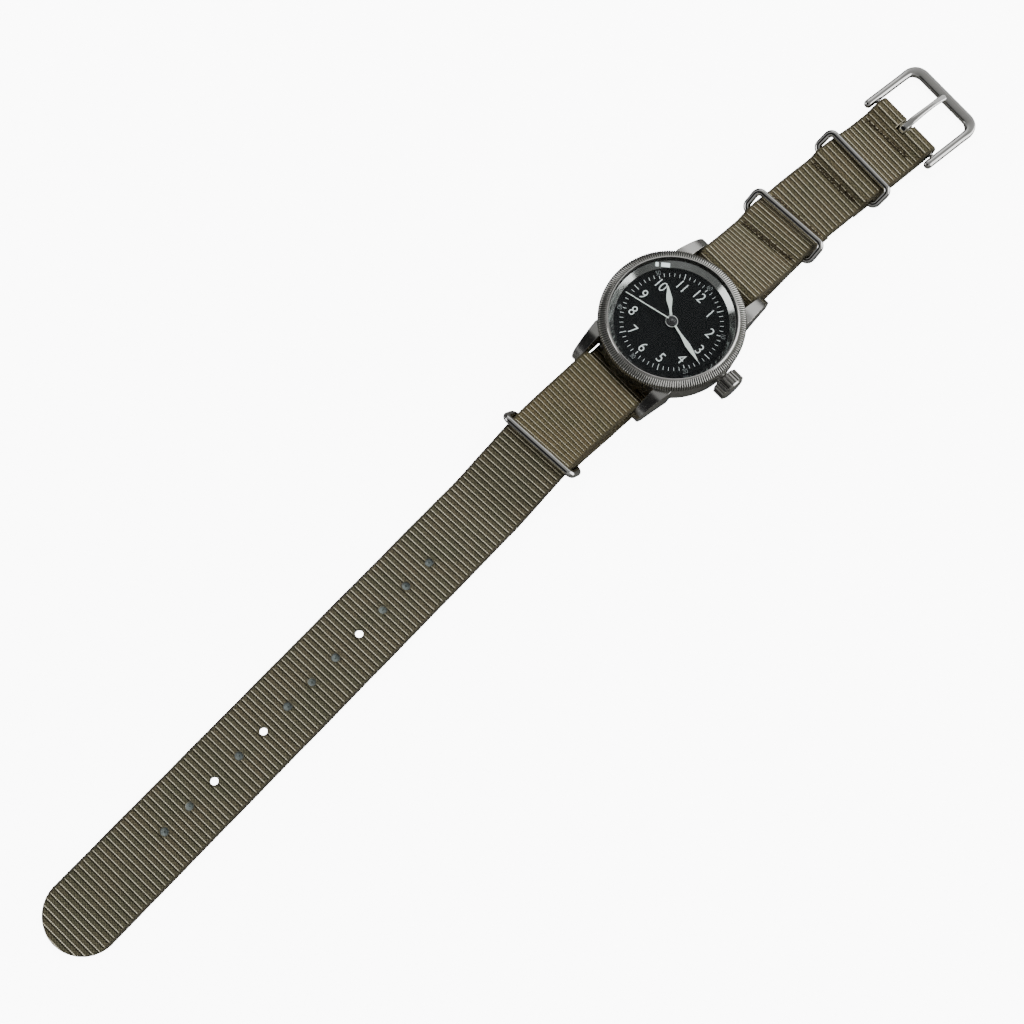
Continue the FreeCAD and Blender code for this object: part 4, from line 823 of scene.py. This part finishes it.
def build_bar_tacks():
    row_places = (76.0, 57.6, 44.2, 33.6)
    thread_radius, sides = 0.13 * MM, 8
    verts, faces = [], []
    for row, row_y in enumerate(row_places):
        for line in stitch_lines(row, row_y):
            last = len(line) - 1
            faces += loft(len(line), sides, first=len(verts))
            for i, point in enumerate(line):
                along = (line[min(i + 1, last)] - line[max(i - 1, 0)]).normalized()
                side = along.cross(Vector((0, 0, 1))).normalized()
                up = along.cross(side)
                radius = thread_radius * (0.55 if i in (0, last) else 1.0)
                for k in range(sides):
                    angle = TAU * k / sides
                    verts.append(point + (side * math.cos(angle) + up * math.sin(angle)) * radius)
    tacks = mesh_object("bar_tack_threads", verts, faces, MATERIALS["thread"])
    register(tacks, "head_and_strap", "stitching")


# ---------------------------------------------------------------------- bezel
# closed section: radius, z, share of the reed depth
BEZEL_PROFILE = [
    (15.2, 10.05, 0), (17.42, 10.05, 0), (17.55, 10.15, 0), (17.6, 10.3, 0.2),
    (17.58, 10.85, 1), (17.56, 11.35, 1), (17.4, 11.75, 1), (17.15, 11.98, 1),
    (16.8, 12.16, 1), (16.45, 12.30, 1), (16.15, 12.40, 1), (15.92, 12.46, 0.7),
    (15.80, 12.49, 0), (15.70, 12.51, 0), (15.65, 12.64, 0), (15.57, 12.72, 0),
    (15.42, 12.75, 0), (15.26, 12.72, 0), (15.2, 12.64, 0), (15.2, 12.08, 0),
    (15.8, 12.08, 0), (15.8, 11.1, 0), (15.2, 11.1, 0),
]


def build_bezel():
    """Coin-edge ring: the profile turned, with each reed a small wave round the rim."""
    reed_depth = 0.15
    reed_wave = [0.0, 0.55, 1.0, 1.0, 0.55, 0.0]
    steps = REEDS * len(reed_wave)
    verts = []
    for i in range(steps):
        angle = TAU * i / steps
        wave = reed_wave[i % len(reed_wave)]
        for radius, z, share in BEZEL_PROFILE:
            reeded = radius + reed_depth * share * (wave - 0.6)
            verts.append((reeded * math.cos(angle) * MM, reeded * math.sin(angle) * MM,
                          (z + reed_depth * share * (wave - 0.7)) * MM))
    bezel = mesh_object("bezel_coin_edge", verts, loft(steps, len(BEZEL_PROFILE), closed=True),
                        coin_steel("coin_steel"))
    face_outward(bezel)
    register(bezel, "head_and_strap", "bezel")


# --------------------------------------------------------------------- buckle
def yawed(angle, bend_y):
    """Turn about the middle of a bend of the strap."""
    y = (bend_y + BEND_LENGTH / 2) * MM
    return (Matrix.Translation((0, y, 0)) @ Matrix.Rotation(angle, 4, "Z")
            @ Matrix.Translation((0, -y, 0)))


# the buckle's own frame: origin on its near bar, +Y towards its far bar
BUCKLE_PLACE = (yawed(MID_YAW, MID_BEND_Y) @ yawed(BUCKLE_YAW - MID_YAW, BUCKLE_BEND_Y)
                @ Matrix.Translation((0, 81.8 * MM, 2.15 * MM))
                @ Matrix.Rotation(math.radians(-3.6), 4, "X"))


def sweep(path, sections, side=None, sides=28):
    """Superellipse sections (half width, half height, power) swept along a path.

    The half width lies along side if given, otherwise level and across the path.
    """
    verts = []
    last = len(path) - 1
    for i, (point, (width, height, power)) in enumerate(zip(path, sections)):
        along = (Vector(path[min(i + 1, last)]) - Vector(path[max(i - 1, 0)])).normalized()
        if side is not None:
            wide = Vector(side)
            high = along.cross(wide).normalized()
        else:
            high = Vector((0, 0, 1))
            wide = along.cross(high).normalized()
        for k in range(sides):
            angle = TAU * k / sides
            c, s = (math.copysign(abs(part) ** (2.0 / power), part)
                    for part in (math.cos(angle), math.sin(angle)))
            verts.append(BUCKLE_PLACE @ ((Vector(point) + wide * (width * c)
                                          + high * (height * s)) * MM))
    return verts, loft(len(path), sides)


def ease(t):
    t = min(1.0, max(0.0, t))
    return t * t * (3 - 2 * t)


def build_buckle_frame():
    """U of round wire with open ends near the bar; its far bar is flatter and wider."""
    half, far, corner, near = 10.8, 14.4, 3.2, -2.4
    path = [(-half, near - back, 0) for back in (0.95, 0.8, 0.45, 0)]
    path += [(-half, near + (far - corner - near) * i / 14.0, 0) for i in range(1, 15)]
    for angle in (math.radians(a) for a in range(6, 91, 6)):
        path.append((-half + corner - corner * math.cos(angle),
                     far - corner + corner * math.sin(angle), 0))
    path += [(-half + corner + (half - corner) * i / 8.0, far, 0) for i in range(1, 9)]
    path += [(-x, y, z) for x, y, z in path[:-1][::-1]]

    end_scale = (0.25, 0.62, 0.9)       # rounds off the wire's two ends
    sections = []
    for i, (x, y, z) in enumerate(path):
        flat = ease((y - 9.0) / 4.5) * ease((half + 0.3 - abs(x)) / 2.6 + 0.25)
        end = min(i, len(path) - 1 - i)
        scale = end_scale[end] if end < len(end_scale) else 1.0
        sections.append(((1.06 + 0.36 * flat) * scale, (1.02 - 0.20 * flat) * scale,
                         2.3 + 1.6 * flat))
    wire = mesh_object("buckle_frame_swept", *sweep(path, sections), satin_top("buckle_steel"))
    face_outward(wire)
    register(wire, "buckle", "buckle_frame")


# stations of the tongue from the near bar: y, z, half width, half height
TONGUE_STATIONS = [
    (-0.7, 1.28, 0.93, 0.50), (0.6, 1.52, 0.93, 0.56), (1.9, 1.80, 0.92, 0.60),
    (3.4, 1.98, 0.88, 0.62), (5.4, 2.04, 0.80, 0.62), (7.6, 2.02, 0.76, 0.60),
    (9.6, 1.95, 0.76, 0.56), (11.4, 1.82, 0.82, 0.46), (12.6, 1.68, 0.92, 0.36),
    (13.3, 1.58, 0.86, 0.30), (13.75, 1.52, 0.55, 0.22), (13.92, 1.49, 0.18, 0.08),
]
# closed section of its loop round the near bar: x, radius
LOOP_PROFILE = [
    (-0.95, 1.1), (-0.90, 0.99), (0.90, 0.99), (0.95, 1.1), (0.95, 1.55), (0.86, 1.74),
    (0.6, 1.82), (-0.6, 1.82), (-0.86, 1.74), (-0.95, 1.55),
]


def spline(stations, count):
    """Smooth cubic through the stations, at count even steps."""
    values = np.array(stations, float)
    steps = np.linspace(0, len(values) - 1, count)
    i = np.clip(steps.astype(int), 0, len(values) - 2)
    t = (steps - i)[:, None]
    slope = np.gradient(values, axis=0)
    return ((2 * t**3 - 3 * t**2 + 1) * values[i] + (t**3 - 2 * t**2 + t) * slope[i]
            + (-2 * t**3 + 3 * t**2) * values[i + 1] + (t**3 - t**2) * slope[i + 1])


def build_buckle_tongue():
    stations = spline(TONGUE_STATIONS, 60)
    verts, faces = sweep([(0, y, z) for y, z, _, _ in stations],
                         [(width, height, 2.6) for _, _, width, height in stations],
                         side=(1, 0, 0))
    loop_steps = 48
    faces += loft(loop_steps, len(LOOP_PROFILE), first=len(verts), closed=True)
    for i in range(loop_steps):
        angle = TAU * i / loop_steps
        for x, radius in LOOP_PROFILE:
            point = Vector((x, radius * math.cos(angle), radius * math.sin(angle)))
            verts.append(BUCKLE_PLACE @ (point * MM))
    tongue = mesh_object("buckle_tongue_swept", verts, faces, MATERIALS["hardware_steel"])
    face_outward(tongue)
    register(tongue, "tongue", "buckle_tongue")


# -------------------------------------------------------------- dial printing
def dial_text(text, cap_height, radius, angle, squeeze, turn=0.0):
    """Thin lettering centred at a clockwise angle from twelve, squeezed in width."""
    curve = bpy.data.curves.new("t", "FONT")
    curve.body = text
    curve.size = cap_height / 0.72 * MM
    curve.offset = -0.03 * MM
    curve.extrude = 0.012 * MM
    curve.resolution_u = 5
    curve.space_character = 0.92
    ob = link_object("t", curve)
    depsgraph = bpy.context.evaluated_depsgraph_get()
    mesh = bpy.data.meshes.new_from_object(ob.evaluated_get(depsgraph))
    bpy.data.objects.remove(ob)
    bpy.data.curves.remove(curve)
    points = np.empty(len(mesh.vertices) * 3)
    mesh.vertices.foreach_get("co", points)
    points = points.reshape(-1, 3)
    middle = (points.min(0) + points.max(0)) / 2
    mesh.transform(Matrix.Translation((-middle[0], -middle[1], 0)))
    place = Vector((radius * math.sin(angle), radius * math.cos(angle), DIAL_Z + 0.02)) * MM
    mesh.transform(Matrix.Translation(place) @ Matrix.Rotation(turn, 4, "Z")
                   @ Matrix.Diagonal((squeeze, 1, 1, 1)))
    return mesh


def printed(name, texts, material):
    """Join text meshes into one printed object."""
    bm = bmesh.new()
    for text in texts:
        bm.from_mesh(text)
        bpy.data.meshes.remove(text)
    mesh = bpy.data.meshes.new(name)
    bm.to_mesh(mesh)
    bm.free()
    mesh.materials.append(MATERIALS[material])
    register(link_object(name, mesh), "head_and_strap")


def build_numerals():
    texts = [dial_text(str(hour), cap_height=2.66, radius=9.43, angle=math.radians(30 * hour),
                       squeeze=0.90) for hour in range(1, 13)]
    printed("dial_numerals", texts, "print_white")


def build_minute_track():
    """Sixty bars; every fifth is bigger, and every tenth stops short of its outer number."""
    verts, faces = [], []
    box = ((0, 1, 2, 3), (7, 6, 5, 4), (0, 4, 5, 1), (1, 5, 6, 2), (2, 6, 7, 3), (3, 7, 4, 0))
    for minute in range(60):
        angle = math.radians(6 * minute)
        inner, outer, half = (11.1, 12.65, 0.075) if minute % 5 == 0 else (11.45, 12.35, 0.05)
        if minute % 10 == 0:
            outer = 11.95
        sin, cos = math.sin(angle), math.cos(angle)
        faces += [tuple(len(verts) + i for i in face) for face in box]
        for z in (DIAL_Z + 0.005, DIAL_Z + 0.03):
            for r, side in ((inner, -half), (inner, half), (outer, half), (outer, -half)):
                verts.append(((sin * r + cos * side) * MM, (cos * r - sin * side) * MM, z * MM))
    track = mesh_object("dial_minute_track", verts, faces, MATERIALS["print_white"],
                        smooth=False)
    register(track, "head_and_strap")


def build_outer_numbers():
    """Tens of minutes, turned with the dial; the lower three are flipped to read upright."""
    texts = []
    for minute in range(10, 70, 10):
        angle = math.radians(6 * minute)
        flip = math.pi if minute in (20, 30, 40) else 0
        texts.append(dial_text(str(minute), cap_height=1.2, radius=12.72, angle=angle,
                               squeeze=0.85, turn=flip - angle))
    printed("dial_outer_numbers", texts, "print_grey")


# ------------------------------------------------------ floor, world and light
PALE_STRENGTH = 9.0         # floor and backdrop as the camera sees them


def build_floor():
    """Paper that is nearly white to the camera but dim in what it reflects into the steel."""
    bpy.ops.mesh.primitive_plane_add(size=6.0, location=(0, 0, -0.0001))
    floor = bpy.context.object
    floor.name = "floor"
    mat = new_material("floor_paper")
    cloud = mat.noise(mat.coords(), scale=0.02, detail=3)
    pale = mat.principled(
        Base_Color=mat.shade(cloud, (0.90, 0.90, 0.90), (0.92, 0.92, 0.92)), Roughness=0.9,
        Specular_IOR_Level=0.1, Emission_Color=(1, 1, 1, 1), Emission_Strength=PALE_STRENGTH)
    dim = mat.principled(
        Base_Color=mat.shade(cloud, (0.10, 0.10, 0.095), (0.13, 0.13, 0.12)), Roughness=0.9,
        Specular_IOR_Level=0.0)
    floor.data.materials.append(mat.surface(
        mat.add("ShaderNodeMixShader", {0: mat.camera_ray(), 1: dim, 2: pale})))


# vertical part of the direction, brightness
SKY_STOPS = ((0.0, 0.05), (0.12, 0.10), (0.30, 0.22), (0.48, 0.34), (0.64, 0.46), (0.80, 0.40),
             (0.92, 0.33), (1.0, 0.30))
# round cards in the sky: direction, cosine at the outer and inner edge, brightness
SKY_CARDS = (
    ((-0.16, -0.62, 0.77), 0.86, 0.93, 0.012),      # dark shape of whoever holds the camera
    ((-0.55, 0.60, 0.58), 0.94, 0.97, 1.2),
    ((-0.10, 0.88, 0.46), 0.93, 0.97, 0.95),
    ((0.70, 0.64, 0.31), 0.90, 0.94, 4.0),          # tall window
    ((0.50, 0.81, 0.30), 0.93, 0.965, 4.0),
    ((0.64, 0.50, 0.58), 0.935, 0.965, 3.4),
    ((0.84, 0.48, 0.25), 0.945, 0.97, 3.4),
    ((-0.60, -0.77, 0.17), 0.95, 0.975, 3.0),
    ((0.6, -0.7, 0.35), 0.94, 0.985, 0.24),
    ((-0.95, 0.15, 0.35), 0.93, 0.98, 0.02),
)


def build_world():
    """Room of soft cards for the reflections; the camera itself sees a pale backdrop."""
    world = bpy.data.worlds.new("studio")
    bpy.context.scene.world = world
    room = Nodes(world, "ShaderNodeOutputWorld")
    view = room.add("ShaderNodeTexCoord").outputs["Generated"]
    color = room.ramp(room.separate(view)[2],
                      [(height, (c, c, c * 0.985)) for height, c in SKY_STOPS])
    for direction, outer, inner, brightness in SKY_CARDS:
        dot = room.vector("DOT_PRODUCT", view, Vector(direction).normalized())
        inside = room.add("ShaderNodeMapRange", {
            "Value": dot.outputs["Value"], "From Min": outer, "From Max": inner,
            "To Min": 0.0, "To Max": 1.0}, interpolation_type="SMOOTHSTEP").outputs["Result"]
        color = room.mix(inside, color, (brightness, brightness, brightness))
    lit = room.add("ShaderNodeBackground", {"Color": color, "Strength": 1.0})
    pale = room.add("ShaderNodeBackground", {"Color": (1, 1, 1, 1), "Strength": PALE_STRENGTH})
    room.surface(room.add("ShaderNodeMixShader", {0: room.camera_ray(), 1: lit, 2: pale}))


def area_light(name, place, target, size, power, size_y=None):
    """Area light unseen in reflections; lengths are in metres."""
    light = bpy.data.lights.new(name, "AREA")
    light.energy = power
    light.size = size
    if size_y:
        light.shape = "RECTANGLE"
        light.size_y = size_y
    ob = bpy.data.objects.new(name, light)
    ob.location = place
    ob.rotation_euler = (Vector(target) - Vector(place)).to_track_quat("-Z", "Y").to_euler()
    ob.visible_glossy = False
    bpy.context.scene.collection.objects.link(ob)


def build_lights():
    area_light("key", place=(-0.55, 0.35, 0.75), target=(0, 0, 0), size=0.5, power=5.0,
               size_y=0.35)
    area_light("fill", place=(0.65, -0.1, 0.55), target=(0, 0, 0), size=0.35, power=2.0,
               size_y=0.6)
    area_light("top", place=(0.05, 0.25, 1.0), target=(0, -0.03, 0), size=0.6, power=4.0)


def build_camera():
    data = bpy.data.cameras.new("camera")
    data.sensor_width = 36.0
    data.lens = 67.0614926
    data.clip_start = 0.01
    data.clip_end = 10.0
    camera = link_object("camera", data)
    # the last column is its place in metres
    camera.matrix_world = Matrix(((0.6824071, -0.7075092, 0.1837154, 0.08868),
                                  (0.7303651, 0.6497119, -0.2108108, -0.15143),
                                  (0.0297885, 0.278038, 0.9601081, 0.42809),
                                  (0, 0, 0, 1)))
    bpy.context.scene.camera = camera


dress_loaded_pieces()
build_straps()
build_hole_pieces()
build_bar_tacks()
build_bezel()
build_buckle_frame()
build_buckle_tongue()
build_numerals()
build_minute_track()
build_outer_numbers()
build_floor()
build_world()
build_lights()
build_camera()
